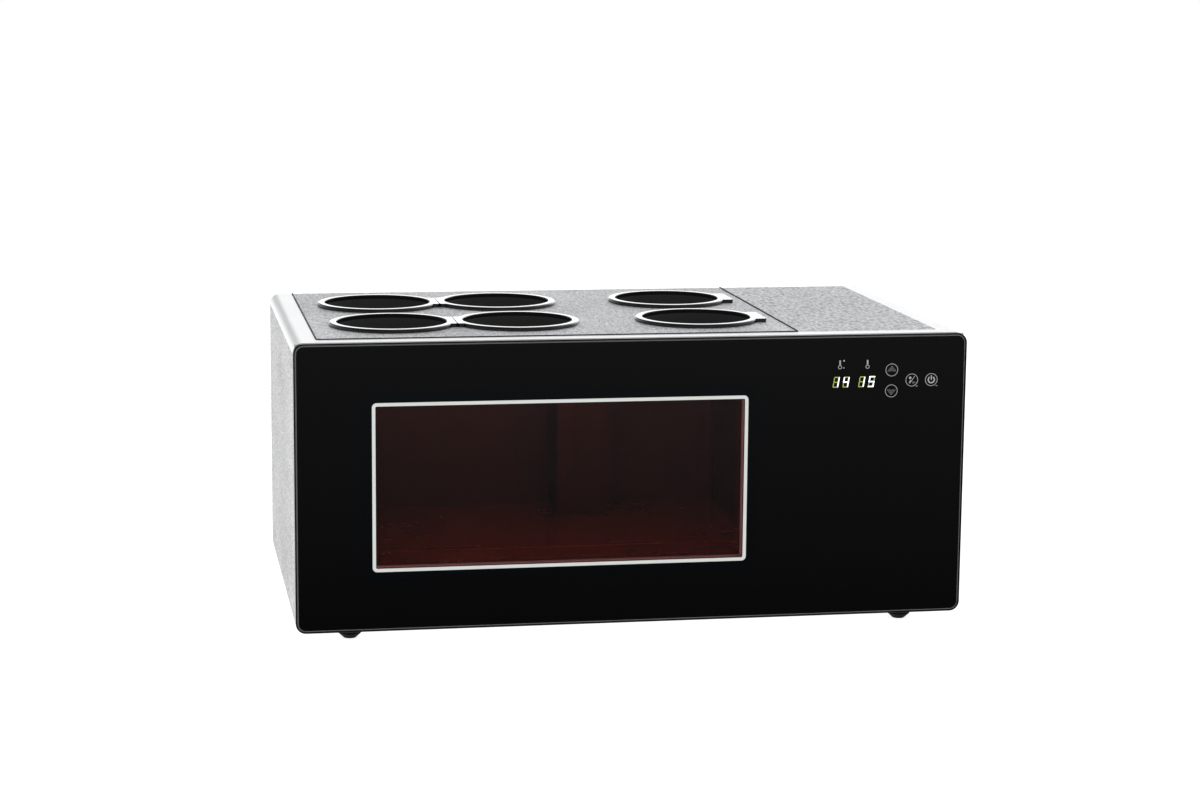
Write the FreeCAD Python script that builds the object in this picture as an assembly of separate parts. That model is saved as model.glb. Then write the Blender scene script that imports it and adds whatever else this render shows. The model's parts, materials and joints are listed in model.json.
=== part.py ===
import FreeCAD, Part
import math
import os

# Open-bottle wine cooler: a counter-top cabinet, cooled by a thermoelectric module, whose lid has
# six wells. Opened bottles stand in it with their necks out.
#
# Working axes, millimetres: x from the cabinet's left side, y from the front glass towards the
# back, z up from the cabinet's underside. Each node is moved to the row frame when it is written:
# the origin is then centred under the feet.

# --- Cabinet ---------------------------------------------------------------------------------
width = 670.0            # left side to right side
depth = 383.0            # bezel front to the rear edge
body_height = 284.5      # underside to the top plates
foot_height = 12.0       # below the underside
corner_r = 10.0          # long edges and the bezel's corners
sheet = 1.5              # wrap, rear panel and bulkhead
frame_wall = 2.5         # moulded top frame
rail_width = 23.5        # smooth rail along each side of the top
lip_end = 27.0           # where the smooth lip along the front ends
opening_r = 4.0          # corners of the opening inside the top frame
tongue = 12.0            # top frame's overlap behind the wrap
skirt_wall = 2.0         # top frame's wall around its opening
ledge_width = 10.0       # top frame's ledge under the fixed plate
rear_inset = 2.0         # rear panel behind the wrap's rear edge
flange_width = 12.0      # wrap's flange that the rear panel is screwed to

# --- Front -----------------------------------------------------------------------------------
bezel_depth = 8.0
bezel_rim = 1.2
bezel_round = 0.8        # front edge of the rim
glass_inset = 0.3        # glass behind the rim's front
glass_thick = 4.0
glass_bevel = 1.3
edge_gap = 0.2           # around glass, trim and panes
window_left = 75.0       # outside of the window's trim
window_width = 372.0
window_bottom = 59.2
window_height = 166.7
trim_width = 3.3
trim_r = 4.5
sight_r = 1.5            # corners inside the trim
pane_inset = 0.3         # outer pane behind the trim's front
spacer_depth = 14.0
spacer_width = 8.0
spacer_set_back = 0.4    # spacer outside the trim's inner edge
inner_pane_thick = 4.0

# --- Lid and wells ---------------------------------------------------------------------------
first_column = 107.0     # wells' axes from the left side
near_pitch = 127.5       # left to middle column
far_pitch = 185.5        # middle to right column
rear_space = 45.0        # behind the cavity, for the module, the hot sink and its fan
row_extra = 14.5         # gap between the rows, more than the gap before the front row
well_r = 55.5
collar_wall = 2.5
collar_gap = 0.3
ring_width = 7.3         # raised ring, from the well's wall
collar_rise = 4.0
ring_outer_round = 1.8
ring_inner_round = 0.8
ear_half = 25.0          # half width of the collar's lug
ear_round = 2.0
ear_slit = 1.0           # between the lugs of neighbouring columns
free_ear = 12.8          # lug of the right column, from the well's wall
hinge_half = 23.0        # half width of the hinge housing
hinge_stand_off = 4.8    # hinge pin from the well's wall
hinge_boss_r = 2.8
hinge_head = 3.3         # housing ceiling above the pin
bracket_wall = 4.0
knuckle_start = 8.0      # each knuckle from the hinge's middle
knuckle_length = 8.0
knuckle_r = 2.7
pin_r = 1.25
pin_clearance = 0.05
flap_overlap = 2.3       # flap beyond the well's wall
flap_thick = 2.5
flap_seat_gap = 0.3
flap_rib_r = 36.0
flap_rib = 1.5
spring_wire = 0.7
spring_r = 2.15
spring_turns = 9
spring_pitch = 1.25
spring_clear = 0.8       # flap's straight edge from the spring
lid_seam = 1.3           # gap around the lid plate
lid_corner_r = 3.0
plate_thick = 2.0
plate_hole_gap = 3.0     # plate's hole round a collar's tube, under the raised ring
seal_width = 1.0         # rubber strip in the seam, on the lid plate's edge
seal_rise = 1.0          # strip above the lid plate
plug_gap = 1.5           # lid foam inside the cavity's mouth
lid_foam_thick = 13.0
lid_liner_thick = 2.0
collar_drop = 0.5        # collar's foot below the lid liner
gasket_width = 8.0
gasket_inset = 5.0       # gasket inside the lid plate's edge

# --- Cavity ----------------------------------------------------------------------------------
well_margin = 6.5        # cavity wall beyond a well's wall
hinge_margin = 3.9       # cavity wall beyond the right column's hinges
cavity_r = 8.0
mouth_shelf = 15.0       # liner flange behind the front lip
liner_wall = 2.5
side_foam = 15.0         # between the liner and the bulkhead
floor_foam = 45.3        # between the wrap and the liner
tray_thick = 3.0
tray_gap = 0.6
front_tray = 96.2        # depth of the front tray
tray_seam_gap = 0.8
notch_depth = 15.0
notch_length = 58.0
notch_slope = 2.0
notch_starts = (95.0, 288.0)   # from the cavity's left wall
seat_drop = 6.0          # liner flange under the top

# --- Cooling ---------------------------------------------------------------------------------
duct_width = 58.0
duct_clear = 4.2         # duct from the right column's flaps
duct_depth = 53.0
duct_step_width = 16.0
duct_step_depth = 70.0
duct_head_gap = 5.2      # duct below the flaps
duct_wall = 2.0
duct_inlets = 7          # slots before the circulation fan
duct_outlets = 6         # slots low in the duct's right side
duct_slot = 3.0
duct_slot_pitch = 6.0
sink_drop = 81.5         # middle of the module and both fans, below the top
cold_sink_width = 50.0
cold_sink_height = 110.0
cold_sink_drop = 15.0    # cold sink's middle below the module
cold_base = 4.0
cold_fin_length = 30.0
cold_fins = 9
module_side = 40.0
module_thick = 3.8
module_plate = 0.9
block_thick = 10.5
hot_sink_side = 110.0
hot_base = 4.0
hot_fins = 19
hot_pocket_gap = 2.0
fin_thick = 1.2
fan_thick = 10.0
inner_fan_side = 50.0
outer_fan_side = 80.0
fan_wall = 2.0
fan_hub_share = 0.18     # hub radius over the frame's side
fan_hole_r = 1.8
fan_hole_inset = 4.5
motor_plate = 1.5
strut_width = 3.0
rotor_gap = 1.2
rotor_front = 0.8        # rotor behind the frame's front
rotor_back = 2.3         # rotor before the frame's back
shaft_r = 1.5
shaft_clearance = 0.05
blade_count = 7
blade_thick = 1.2
blade_pitch = 35.0
probe_r = 2.5
probe_length = 25.0

# --- Light -----------------------------------------------------------------------------------
light_inset = 15.0       # light board from the cavity's side walls
light_drop = 41.5
light_board_height = 9.0
light_board_thick = 1.2
light_count = 14
light_size = 3.0
light_stand = 1.5
diffuser_depth = 8.0
diffuser_height = 17.0
diffuser_wall = 1.5
diffuser_round = 4.0

# --- Machine space, right of the cavity --------------------------------------------------------
bulkhead_flange = 12.0
fixed_plate_gap = 0.3
supply_length = 180.0
supply_height = 44.0
supply_wall = 1.2
supply_from_bulkhead = 17.5
supply_from_right = 32.0
supply_from_front = 90.0
terminal_depth = 12.0
terminal_height = 20.0
board_thick = 1.6
standoff = 6.0
standoff_r = 3.0
control_from_front = 120.0
control_length = 130.0
control_bottom = 103.0
control_height = 90.0
inlet_from_right = 70.0
inlet_z = 48.0
inlet_width = 28.0
inlet_height = 21.0
inlet_depth = 27.0
inlet_wall = 2.0
inlet_flange = 8.0
inlet_flange_thick = 2.5
socket_depth = 20.0
contact_length = 13.0

# --- Touch panel: places are measured from its middle --------------------------------------------
panel_from_right = 82.5
panel_from_top = 45.6
panel_width = 119.0
panel_height = 39.4
panel_land = 3.5         # display board's overlap on the bezel
display_offsets = (-46.6, -20.4)
display_drop = 1.7
display_width = 24.0
display_height = 15.0
digit_pitch = 10.4
digit_height = 11.6
digit_width = 6.6
digit_stroke = 1.1
digit_depth = 0.4
digit_gap = 0.3          # between the ends of two bars
key_offsets = ((5.3, 9.6), (5.3, -11.5), (26.2, -0.9), (46.4, -0.8))
key_r = 7.0
key_wall = 2.0
key_floor = 1.2
key_gap = 0.3            # behind the glass

# --- Fasteners, feet and vents -------------------------------------------------------------------
foot_r = 11.5
foot_tip_r = 6.2
foot_taper = 5.0
foot_from_side = 54.8
foot_from_end = 30.0
foot_recess_r = 4.2
foot_recess = 5.0
screw_r = 1.5
screw_head_r = 3.2
screw_head = 2.0
screw_slot = 0.8
screw_grip = 4.5         # thread past the flange
vent_rows = 9
vent_height = 4.0
vent_pitch = 8.0
vent_length = 36.0
vent_bar = 6.0           # between two vents side by side

# --- Levels and planes worked out from the sizes above ------------------------------------------
top = body_height
wrap_top = top - corner_r
crown = top + collar_rise
seat = top - seat_drop
glass_back = glass_inset + glass_thick
spacer_out = spacer_set_back - trim_width + spacer_width
spacer_back = glass_back + spacer_depth
liner_front = spacer_back + inner_pane_thick
window_right = window_left + window_width
window_top = window_bottom + window_height

columns = (first_column, first_column + near_pitch, first_column + near_pitch + far_pitch)
mouth_y0 = lip_end + mouth_shelf
cavity_y1 = depth - rear_space
back_row = cavity_y1 - well_margin - well_r
free_depth = back_row - 3 * well_r - mouth_y0
front_row = mouth_y0 + (free_depth - row_extra) / 2 + well_r
rows = (front_row, back_row)
tube_r = well_r + collar_wall
flange_r = well_r + ring_width
hinge_offset = well_r + hinge_stand_off
housing_end = hinge_offset + hinge_boss_r
flap_r = well_r + flap_overlap
flap_flat = hinge_offset - spring_r - spring_wire / 2 - spring_clear
lid_under = top - plate_thick - lid_foam_thick - lid_liner_thick
collar_foot = lid_under - collar_drop
flap_top = collar_foot - flap_seat_gap
flap_bottom = flap_top - flap_thick
hinge_z = flap_top - flap_thick / 2
hinge_ceiling = hinge_z + hinge_head

cavity_x0 = columns[0] - well_r - well_margin
cavity_x1 = columns[2] + housing_end + hinge_margin
cavity_y0 = liner_front + liner_wall
liner_floor = sheet + floor_foam + liner_wall
tray_top = liner_floor + tray_thick
tray_seam = cavity_y0 + front_tray
bulkhead_x = cavity_x1 + liner_wall + side_foam
lid_x1 = bulkhead_x - fixed_plate_gap - lid_seam
panel_front = depth - rear_inset - sheet
panel_back = depth - rear_inset
rear_end = panel_front - sheet

duct_x1 = columns[2] - flap_r - duct_clear
duct_x0 = duct_x1 - duct_width
duct_step_x = duct_x0 + duct_step_width
duct_mid = (duct_x0 + duct_x1) / 2
duct_front = cavity_y1 - duct_depth
duct_step_front = cavity_y1 - duct_step_depth
duct_top = flap_bottom - duct_head_gap
sink_z = top - sink_drop
module_front = cavity_y1 + block_thick
hot_front = module_front + module_thick
hot_fan_front = panel_front - fan_thick
cold_fin_tip = cavity_y1 - cold_base - cold_fin_length
light_x0 = cavity_x0 + light_inset
light_x1 = cavity_x1 - light_inset
light_z = top - light_drop

board_x = bulkhead_x + sheet + standoff
inlet_x = width - inlet_from_right
panel_x = width - panel_from_right
panel_z = top - panel_from_top
display_z = panel_z - display_drop


def vec(x, y, z):
    return FreeCAD.Vector(x, y, z)


def box(x0, x1, y0, y1, z0, z1):
    return Part.makeBox(x1 - x0, y1 - y0, z1 - z0, vec(x0, y0, z0))


def cylinder(radius, start, axis, length):
    return Part.makeCylinder(radius, length, start, axis)


def upright(radius, x, y, z0, z1):
    return cylinder(radius, vec(x, y, z0), vec(0, 0, 1), z1 - z0)


def fore_aft(radius, x, z, y0, y1):
    return cylinder(radius, vec(x, y0, z), vec(0, 1, 0), y1 - y0)


def edges_along(shape, axis, keep=lambda point: True):
    """Straight edges parallel to an axis whose middle passes a test."""
    found = []
    for edge in shape.Edges:
        if len(edge.Vertexes) != 2:
            continue
        a, b = [v.Point for v in edge.Vertexes]
        run = b - a
        if run.Length > 1e-6 and abs(run.normalize().dot(axis)) > 0.999 and keep((a + b) / 2):
            found.append(edge)
    return found


def rounded_y(x0, x1, z0, z1, radius, y0, y1):
    """Plate in the front's plane with its four corners rounded."""
    plate = box(x0, x1, y0, y1, z0, z1)
    return plate.makeFillet(radius, edges_along(plate, vec(0, 1, 0)))


def rounded_z(x0, x1, y0, y1, radius, z0, z1):
    """Slab seen from above with its four corners rounded."""
    slab = box(x0, x1, y0, y1, z0, z1)
    return slab.makeFillet(radius, edges_along(slab, vec(0, 0, 1)))


def joined(shapes):
    """One solid from touching or overlapping shapes."""
    shapes = list(shapes)
    if len(shapes) == 1:
        return shapes[0]
    return shapes[0].multiFuse(shapes[1:]).removeSplitter()


def without(shape, cutters):
    return shape.cut(Part.makeCompound(list(cutters)))


def group(shapes):
    """Several separate solids written as one node."""
    return Part.makeCompound(list(shapes))


# --- Cabinet ---------------------------------------------------------------------------------
def body_section(inset, y0, y1, z1):
    """Solid of the cabinet's section, rounded at its two bottom edges."""
    block = box(inset, width - inset, y0, y1, inset, z1)
    bottom = edges_along(block, vec(0, 1, 0), lambda p: p.z < inset + 1)
    return block.makeFillet(corner_r - inset, bottom)


def foot_centres():
    for x in (foot_from_side, width - foot_from_side):
        for y in (foot_from_end, depth - foot_from_end):
            yield x, y


def rear_screw_places():
    """Screws around the rear panel, on the wrap's flanges."""
    line = sheet + flange_width / 2
    for x in (line, width - line):
        for z in (body_height / 7, body_height / 2, body_height * 6 / 7):
            yield x, z
    for quarter in (1, 2, 3):
        yield width * quarter / 4, line


def outer_wrap():
    shell = body_section(0, bezel_depth, depth, wrap_top)
    shell = shell.cut(body_section(sheet, bezel_depth - 1, depth + 1, wrap_top + 1))
    rim = body_section(sheet, rear_end, panel_front, wrap_top - tongue)
    rim = rim.cut(box(sheet + flange_width, width - sheet - flange_width,
                      rear_end - 1, panel_front + 1, sheet + flange_width, top))
    wrap = joined([shell, rim])
    holes = [fore_aft(screw_r, x, z, panel_front - 5, depth) for x, z in rear_screw_places()]
    holes += [upright(screw_r, x, y, -1, sheet + 1) for x, y in foot_centres()]
    return without(wrap, holes)


def top_opening(grow, z0, z1, y1):
    """Opening inside the rails and the lip, open towards the back."""
    hole = box(rail_width - grow, width - rail_width + grow, lip_end - grow, y1, z0, z1)
    front = edges_along(hole, vec(0, 0, 1), lambda p: p.y < lip_end + 1)
    return hole.makeFillet(opening_r + grow, front)


def crown_section(inset, y0, y1, z0):
    """Solid of the cabinet's section above a level, rounded at its two top edges."""
    block = box(inset, width - inset, y0, y1, body_height / 2, top - inset)
    upper = edges_along(block, vec(0, 1, 0), lambda p: p.z > top - inset - 1)
    block = block.makeFillet(corner_r - inset, upper)
    return block.common(box(0, width, y0, y1, z0, top))


def top_frame():
    outer = crown_section(0, bezel_depth, depth, wrap_top)
    inner = crown_section(frame_wall, bezel_depth + frame_wall, depth + 1, wrap_top - 1)
    skin = outer.cut(inner)
    skirt = top_opening(skirt_wall, seat, top - 0.5, depth)
    parts = [skin, skirt]
    tongue_z = wrap_top - tongue
    parts.append(box(sheet, sheet + frame_wall, bezel_depth, rear_end, tongue_z, wrap_top + 1))
    parts.append(box(width - sheet - frame_wall, width - sheet, bezel_depth, rear_end,
                     tongue_z, wrap_top + 1))
    parts.append(box(sheet, width - sheet, bezel_depth, bezel_depth + frame_wall, tongue_z, top - 1))
    frame = joined(parts).cut(top_opening(0, tongue_z - 1, top + 1, depth + 1))
    ledge = box(bulkhead_x + bulkhead_flange, width - rail_width + 1, lip_end - 1, panel_front,
                top - plate_thick - frame_wall, top - plate_thick)
    ledge = ledge.cut(box(bulkhead_x, width - rail_width - ledge_width, lip_end + ledge_width,
                          depth, wrap_top, top))
    return joined([frame, ledge])


def rear_vents():
    """Rows of vent slots: over the exhaust fan, and into the machine space."""
    machine_x = (bulkhead_x + width) / 2
    for middle, z_mid in ((duct_mid, sink_z), (machine_x, body_height / 2)):
        for shift in (-1, 1):
            x = middle + shift * (vent_length + vent_bar) / 2
            for i in range(vent_rows):
                z = z_mid + (i - (vent_rows - 1) / 2) * vent_pitch
                yield box(x - vent_length / 2, x + vent_length / 2, panel_front - 1, depth,
                          z - vent_height / 2, z + vent_height / 2)


def rear_panel():
    plate = body_section(sheet, panel_front, panel_back, top - plate_thick - 0.5)
    holes = [fore_aft(screw_r, x, z, panel_front - 1, depth) for x, z in rear_screw_places()]
    holes.append(box(inlet_x - inlet_width / 2, inlet_x + inlet_width / 2, panel_front - 1, depth,
                     inlet_z - inlet_height / 2, inlet_z + inlet_height / 2))
    plate = plate.cut(rail_hollow())
    return without(plate, holes + list(rear_vents()))


def rail_hollow():
    """Space of the two rails, which the rear panel stops under."""
    left = box(-1, rail_width, panel_front - 1, depth + 1, wrap_top - tongue, top + 1)
    right = box(width - rail_width, width + 1, panel_front - 1, depth + 1, wrap_top - tongue, top + 1)
    return group([left, right])


def rail_ends():
    """Caps that close the rear ends of the two rails."""
    caps = []
    profile = crown_section(frame_wall, panel_front, panel_back, wrap_top)
    for x0, x1 in ((0, rail_width - skirt_wall), (width - rail_width + skirt_wall, width)):
        upper = profile.common(box(x0, x1, panel_front, panel_back, wrap_top, top))
        low = box(max(x0, sheet), min(x1, width - sheet), panel_front, panel_back,
                  wrap_top - tongue, wrap_top)
        caps.append(joined([upper, low]))
    return group(caps)


def top_plate():
    """Fixed plate above the machine space."""
    plate = box(bulkhead_x - fixed_plate_gap, width - rail_width, lip_end, depth,
                top - plate_thick, top)
    corner = edges_along(plate, vec(0, 0, 1), lambda p: p.y < lip_end + 1 and p.x > bulkhead_x)
    return plate.makeFillet(opening_r, corner)


def bulkhead():
    """Wall between the cold cavity and the machine space, flanged at its top and bottom."""
    x0, x1 = bulkhead_x, bulkhead_x + bulkhead_flange
    y0 = bezel_depth + frame_wall
    high = top - plate_thick
    wall = box(x0, x0 + sheet, y0, rear_end, sheet, seat - liner_wall)
    neck = box(x0, x0 + sheet, lip_end, rear_end, seat - liner_wall - 1, high)
    foot_flange = box(x0, x1, y0, rear_end - flange_width, sheet, sheet * 2)
    head = box(x0, x1, lip_end, rear_end, high - sheet, high)
    return joined([wall, neck, foot_flange, head])


# --- Front -----------------------------------------------------------------------------------
def window(grow, y0, y1, radius):
    """Block of the window's outline; grow is outwards from the trim's outside."""
    return rounded_y(window_left - grow, window_right + grow, window_bottom - grow,
                     window_top + grow, radius, y0, y1)


def touch_window(grow, y0, y1):
    """Block of the opening behind the displays and keys."""
    half_w, half_h = panel_width / 2 + grow, panel_height / 2 + grow
    return box(panel_x - half_w, panel_x + half_w, y0, y1, panel_z - half_h, panel_z + half_h)


def front_bezel():
    block = rounded_y(0, width, 0, top, corner_r, 0, bezel_depth)
    front = [e for e in block.Edges if all(abs(v.Point.y) < 1e-6 for v in e.Vertexes)]
    block = block.makeFillet(bezel_round, front)
    recess = rounded_y(bezel_rim, width - bezel_rim, bezel_rim, top - bezel_rim,
                       corner_r - bezel_rim, -1, glass_back)
    glazing = window(spacer_out + edge_gap, glass_back - 1, bezel_depth + 1, trim_r)
    panel = touch_window(0, glass_back - 1, bezel_depth + 1)
    return without(block, [recess, glazing, panel])


def front_glass():
    inset = bezel_rim + edge_gap
    pane = rounded_y(inset, width - inset, inset, top - inset, corner_r - inset,
                     glass_inset, glass_back)
    front = [e for e in pane.Edges
             if all(abs(v.Point.y - glass_inset) < 1e-6 for v in e.Vertexes)]
    pane = pane.makeChamfer(glass_bevel, front)
    return pane.cut(window(edge_gap, glass_inset - 1, glass_back + 1, trim_r + edge_gap))


def window_trim():
    ring = window(0, glass_inset, glass_back, trim_r)
    return ring.cut(window(-trim_width, glass_inset - 1, glass_back + 1, sight_r))


def outer_pane():
    return window(-trim_width - edge_gap, glass_inset + pane_inset, glass_back, sight_r - edge_gap)


def window_spacer():
    ring = window(spacer_out, glass_back, spacer_back, trim_r)
    return ring.cut(window(spacer_set_back - trim_width, glass_back - 1, spacer_back + 1, sight_r))


def inner_pane():
    return window(spacer_out, spacer_back, liner_front, trim_r)


# --- Cavity ----------------------------------------------------------------------------------
def cavity_block(grow, z0, z1):
    """Block of the cavity's plan, grown outwards."""
    return rounded_z(cavity_x0 - grow, cavity_x1 + grow, cavity_y0 - grow, cavity_y1 + grow,
                     cavity_r + grow, z0, z1)


def mouth_block(grow, z0, z1):
    """Block of the cavity's mouth, which starts further back than the cavity."""
    return rounded_z(cavity_x0 - grow, cavity_x1 + grow, mouth_y0 - grow, cavity_y1 + grow,
                     cavity_r + grow, z0, z1)


def liner_flange():
    return box(rail_width - skirt_wall, bulkhead_x, liner_front, rear_end, seat - liner_wall, seat)


def block_opening(y0, y1):
    half = module_side / 2
    return box(duct_mid - half, duct_mid + half, y0, y1, sink_z - half, sink_z + half)


def cavity_liner():
    tub = cavity_block(liner_wall, liner_floor - liner_wall, seat)
    liner = joined([tub, liner_flange()])
    sight = window(spacer_set_back - trim_width, liner_front - 1, cavity_y0 + 1, sight_r)
    return without(liner, [cavity_block(0, liner_floor, seat - liner_wall),
                           mouth_block(0, seat - liner_wall - 1, top), sight,
                           block_opening(cavity_y1 - 1, cavity_y1 + liner_wall + 1)])


def tray_notches():
    """Finger notches in the rear tray's front edge, with sloped ends."""
    y0 = tray_seam + tray_seam_gap / 2
    for start in notch_starts:
        x = cavity_x0 + start
        outline = [vec(x, y0 - 1, 0), vec(x + notch_length, y0 - 1, 0),
                   vec(x + notch_length, y0, 0),
                   vec(x + notch_length - notch_slope, y0 + notch_depth, 0),
                   vec(x + notch_slope, y0 + notch_depth, 0), vec(x, y0, 0), vec(x, y0 - 1, 0)]
        face = Part.Face(Part.makePolygon(outline))
        face.translate(vec(0, 0, liner_floor - 1))
        yield face.extrude(vec(0, 0, tray_thick + 2))


def floor_tray(y0, y1):
    """One tray: the part of the cavity's floor between two depths."""
    sheet_plan = cavity_block(-tray_gap, liner_floor, tray_top)
    return sheet_plan.common(box(0, width, y0, y1, 0, top))


def floor_tray_front():
    return floor_tray(0, tray_seam - tray_seam_gap / 2)


def floor_tray_rear():
    tray = floor_tray(tray_seam + tray_seam_gap / 2, depth)
    clear = box(duct_x0 - tray_gap, duct_x1 + tray_gap, duct_step_front - tray_gap, depth, 0, top)
    return without(tray, [clear] + list(tray_notches()))


def cabinet_foam(neighbours):
    """Foam between the wrap and the liner: it takes the shape of all that it surrounds."""
    block = body_section(sheet, bezel_depth, rear_end, top - frame_wall)
    block = block.common(box(0, bulkhead_x, 0, depth, 0, top))
    half = hot_sink_side / 2 + hot_pocket_gap
    pocket = box(duct_mid - half, duct_mid + half, hot_front, depth, sink_z - half, sink_z + half)
    well = box(rail_width - skirt_wall, bulkhead_x + 1, lip_end - skirt_wall, depth,
               seat - liner_wall, top)
    glazing = window(spacer_out, 0, liner_front, trim_r)
    cutters = [pocket, well, glazing, liner_flange(),
               cavity_block(liner_wall, liner_floor - liner_wall, top),
               block_opening(cavity_y1, hot_front + 1)]
    foam = without(block, cutters)
    for neighbour in neighbours:
        foam = foam.cut(neighbour)
    return max(foam.Solids, key=lambda solid: solid.Volume)


# --- Lid and wells ---------------------------------------------------------------------------
def wells():
    """Name, centre and hinge side of each well: the pin is towards +x where side is 1."""
    for row, y in zip(("front", "back"), rows):
        for column, x, side in zip(("left", "middle", "right"), columns, (1, -1, 1)):
            yield row + "_" + column, x, y, side


def to_well(shape, x, y, side):
    """Shape drawn round the z axis with its hinge at +x, put into its well."""
    placed = shape.copy()
    if side < 0:
        placed = placed.mirror(vec(0, 0, 0), vec(1, 0, 0))
    placed.translate(vec(x, y, 0))
    return placed


def lid_holes(z0, z1, tube_gap):
    """Holes for the collars' tubes and their hinge housings."""
    half = hinge_half + collar_gap
    for name, x, y, side in wells():
        yield upright(tube_r + tube_gap, x, y, z0, z1)
        reach = housing_end + collar_gap
        if x != columns[2]:
            reach = max(reach, near_pitch / 2)
        yield to_well(box(0, reach, -half, half, z0, z1), x, y, side)


def lid_outline(grow, z1):
    """Slab of the lid plate's outline, grown at its front and sides."""
    y0 = lip_end + lid_seam - grow
    slab = box(rail_width + lid_seam - grow, lid_x1 + grow, y0, depth, top - plate_thick, z1)
    front = edges_along(slab, vec(0, 0, 1), lambda p: p.y < y0 + 1)
    return slab.makeFillet(lid_corner_r + grow, front)


def lid_plate():
    holes = lid_holes(top - plate_thick - 1, top + 1, plate_hole_gap)
    return without(lid_outline(0, top), holes)


def lid_edge_seal():
    """Rubber strip on the lid plate's front edge and sides."""
    z1 = top + seal_rise
    return lid_outline(seal_width, z1).cut(lid_outline(0, z1))


def lid_plug(z0, z1):
    plug = mouth_block(-plug_gap, z0, z1)
    return without(plug, lid_holes(z0 - 1, z1 + 1, collar_gap))


def lid_gasket():
    """Seal between the lid plate and the liner's flange, all round the mouth."""
    z0, z1 = seat, top - plate_thick
    x0, x1 = rail_width + gasket_inset, lid_x1 - gasket_inset
    y0, y1 = lip_end + gasket_inset, rear_end - gasket_inset
    ring = rounded_z(x0, x1, y0, y1, cavity_r, z0, z1)
    inner = rounded_z(x0 + gasket_width, x1 - gasket_width, y0 + gasket_width, y1 - gasket_width,
                      cavity_r / 2, z0 - 1, z1 + 1)
    return ring.cut(inner)


def rounded_corner(x, z, radius, side):
    """Quarter circle that rounds the ring's top edge at radius x; side is outwards."""
    slack = radius * (1 - math.sqrt(0.5))
    low = vec(x, 0, z - radius)
    middle = vec(x - side * slack, 0, z - slack)
    high = vec(x - side * radius, 0, z)
    return low, high, Part.Arc(low, middle, high).toShape()


def collar_ring():
    """Raised ring and tube, turned round the well's axis."""
    out_low, out_high, out_bend = rounded_corner(flange_r, crown, ring_outer_round, 1)
    in_low, in_high, in_bend = rounded_corner(well_r, crown, ring_inner_round, -1)
    points = [in_low, vec(well_r, 0, collar_foot), vec(tube_r, 0, collar_foot),
              vec(tube_r, 0, top), vec(flange_r, 0, top), out_low]
    edges = [Part.makeLine(a, b) for a, b in zip(points, points[1:])]
    edges += [out_bend, Part.makeLine(out_high, in_high), in_bend]
    return Part.Face(Part.Wire(edges)).revolve(vec(0, 0, 0), vec(0, 0, 1), 360)


def collar(ear_end):
    inside = well_r + 1
    ear = box(inside, ear_end, -ear_half, ear_half, top, crown)
    ear = ear.makeFillet(ear_round, edges_along(ear, vec(0, 0, 1), lambda p: p.x > ear_end - 1))
    housing = box(inside, housing_end, -hinge_half, hinge_half, hinge_ceiling, top + 1)
    parts = [collar_ring(), ear, housing]
    for y in (-hinge_half, hinge_half - bracket_wall):
        parts.append(box(hinge_offset - hinge_boss_r, housing_end, y, y + bracket_wall,
                         hinge_z, hinge_ceiling + 1))
        parts.append(fore_aft(hinge_boss_r, hinge_offset, hinge_z, y, y + bracket_wall))
    bore = upright(well_r, 0, 0, hinge_z - hinge_boss_r, top)
    return without(joined(parts), [bore, hinge_pin()])


def flap():
    """Disc that shuts the well from below, with two knuckles on the hinge pin."""
    disc = upright(flap_r, 0, 0, flap_bottom, flap_top)
    disc = disc.cut(box(flap_flat, flap_r + 1, -flap_r, flap_r, flap_bottom - 1, flap_top + 1))
    rib = upright(flap_rib_r, 0, 0, flap_bottom - flap_rib, flap_bottom)
    rib = rib.cut(upright(flap_rib_r - flap_rib, 0, 0, flap_bottom - flap_rib, flap_bottom))
    parts = [disc, rib]
    for y in (-knuckle_start - knuckle_length, knuckle_start):
        parts.append(box(flap_rib_r, hinge_offset, y, y + knuckle_length, flap_bottom, flap_top))
        parts.append(fore_aft(knuckle_r, hinge_offset, hinge_z, y, y + knuckle_length))
    bore = fore_aft(pin_r + pin_clearance, hinge_offset, hinge_z, -hinge_half, hinge_half)
    return joined(parts).cut(bore)


def hinge_pin():
    return fore_aft(pin_r, hinge_offset, hinge_z, -hinge_half, hinge_half)


def flap_spring():
    """Coil of the torsion spring round the pin, between the knuckles."""
    height = spring_turns * spring_pitch
    helix = Part.makeHelix(spring_pitch, height, spring_r)
    start = helix.Edges[0].valueAt(helix.Edges[0].FirstParameter)
    tangent = helix.Edges[0].tangentAt(helix.Edges[0].FirstParameter)
    section = Part.Wire(Part.makeCircle(spring_wire / 2, start, tangent))
    coil = Part.Wire(helix.Edges).makePipeShell([section], True, True)
    coil.rotate(vec(0, 0, 0), vec(1, 0, 0), -90)
    coil.translate(vec(hinge_offset, -height / 2, hinge_z))
    return coil


# --- Cooling ---------------------------------------------------------------------------------
def duct_outline(inset, back):
    """Plan of the air duct: a step stands further forward at its left."""
    x0, x1 = duct_x0 + inset, duct_x1 - inset
    step_x = duct_step_x - inset
    corners = [vec(x0, back, 0), vec(x0, duct_step_front + inset, 0),
               vec(step_x, duct_step_front + inset, 0), vec(step_x, duct_front + inset, 0),
               vec(x1, duct_front + inset, 0), vec(x1, back, 0), vec(x0, back, 0)]
    return Part.Face(Part.makePolygon(corners))


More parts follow.
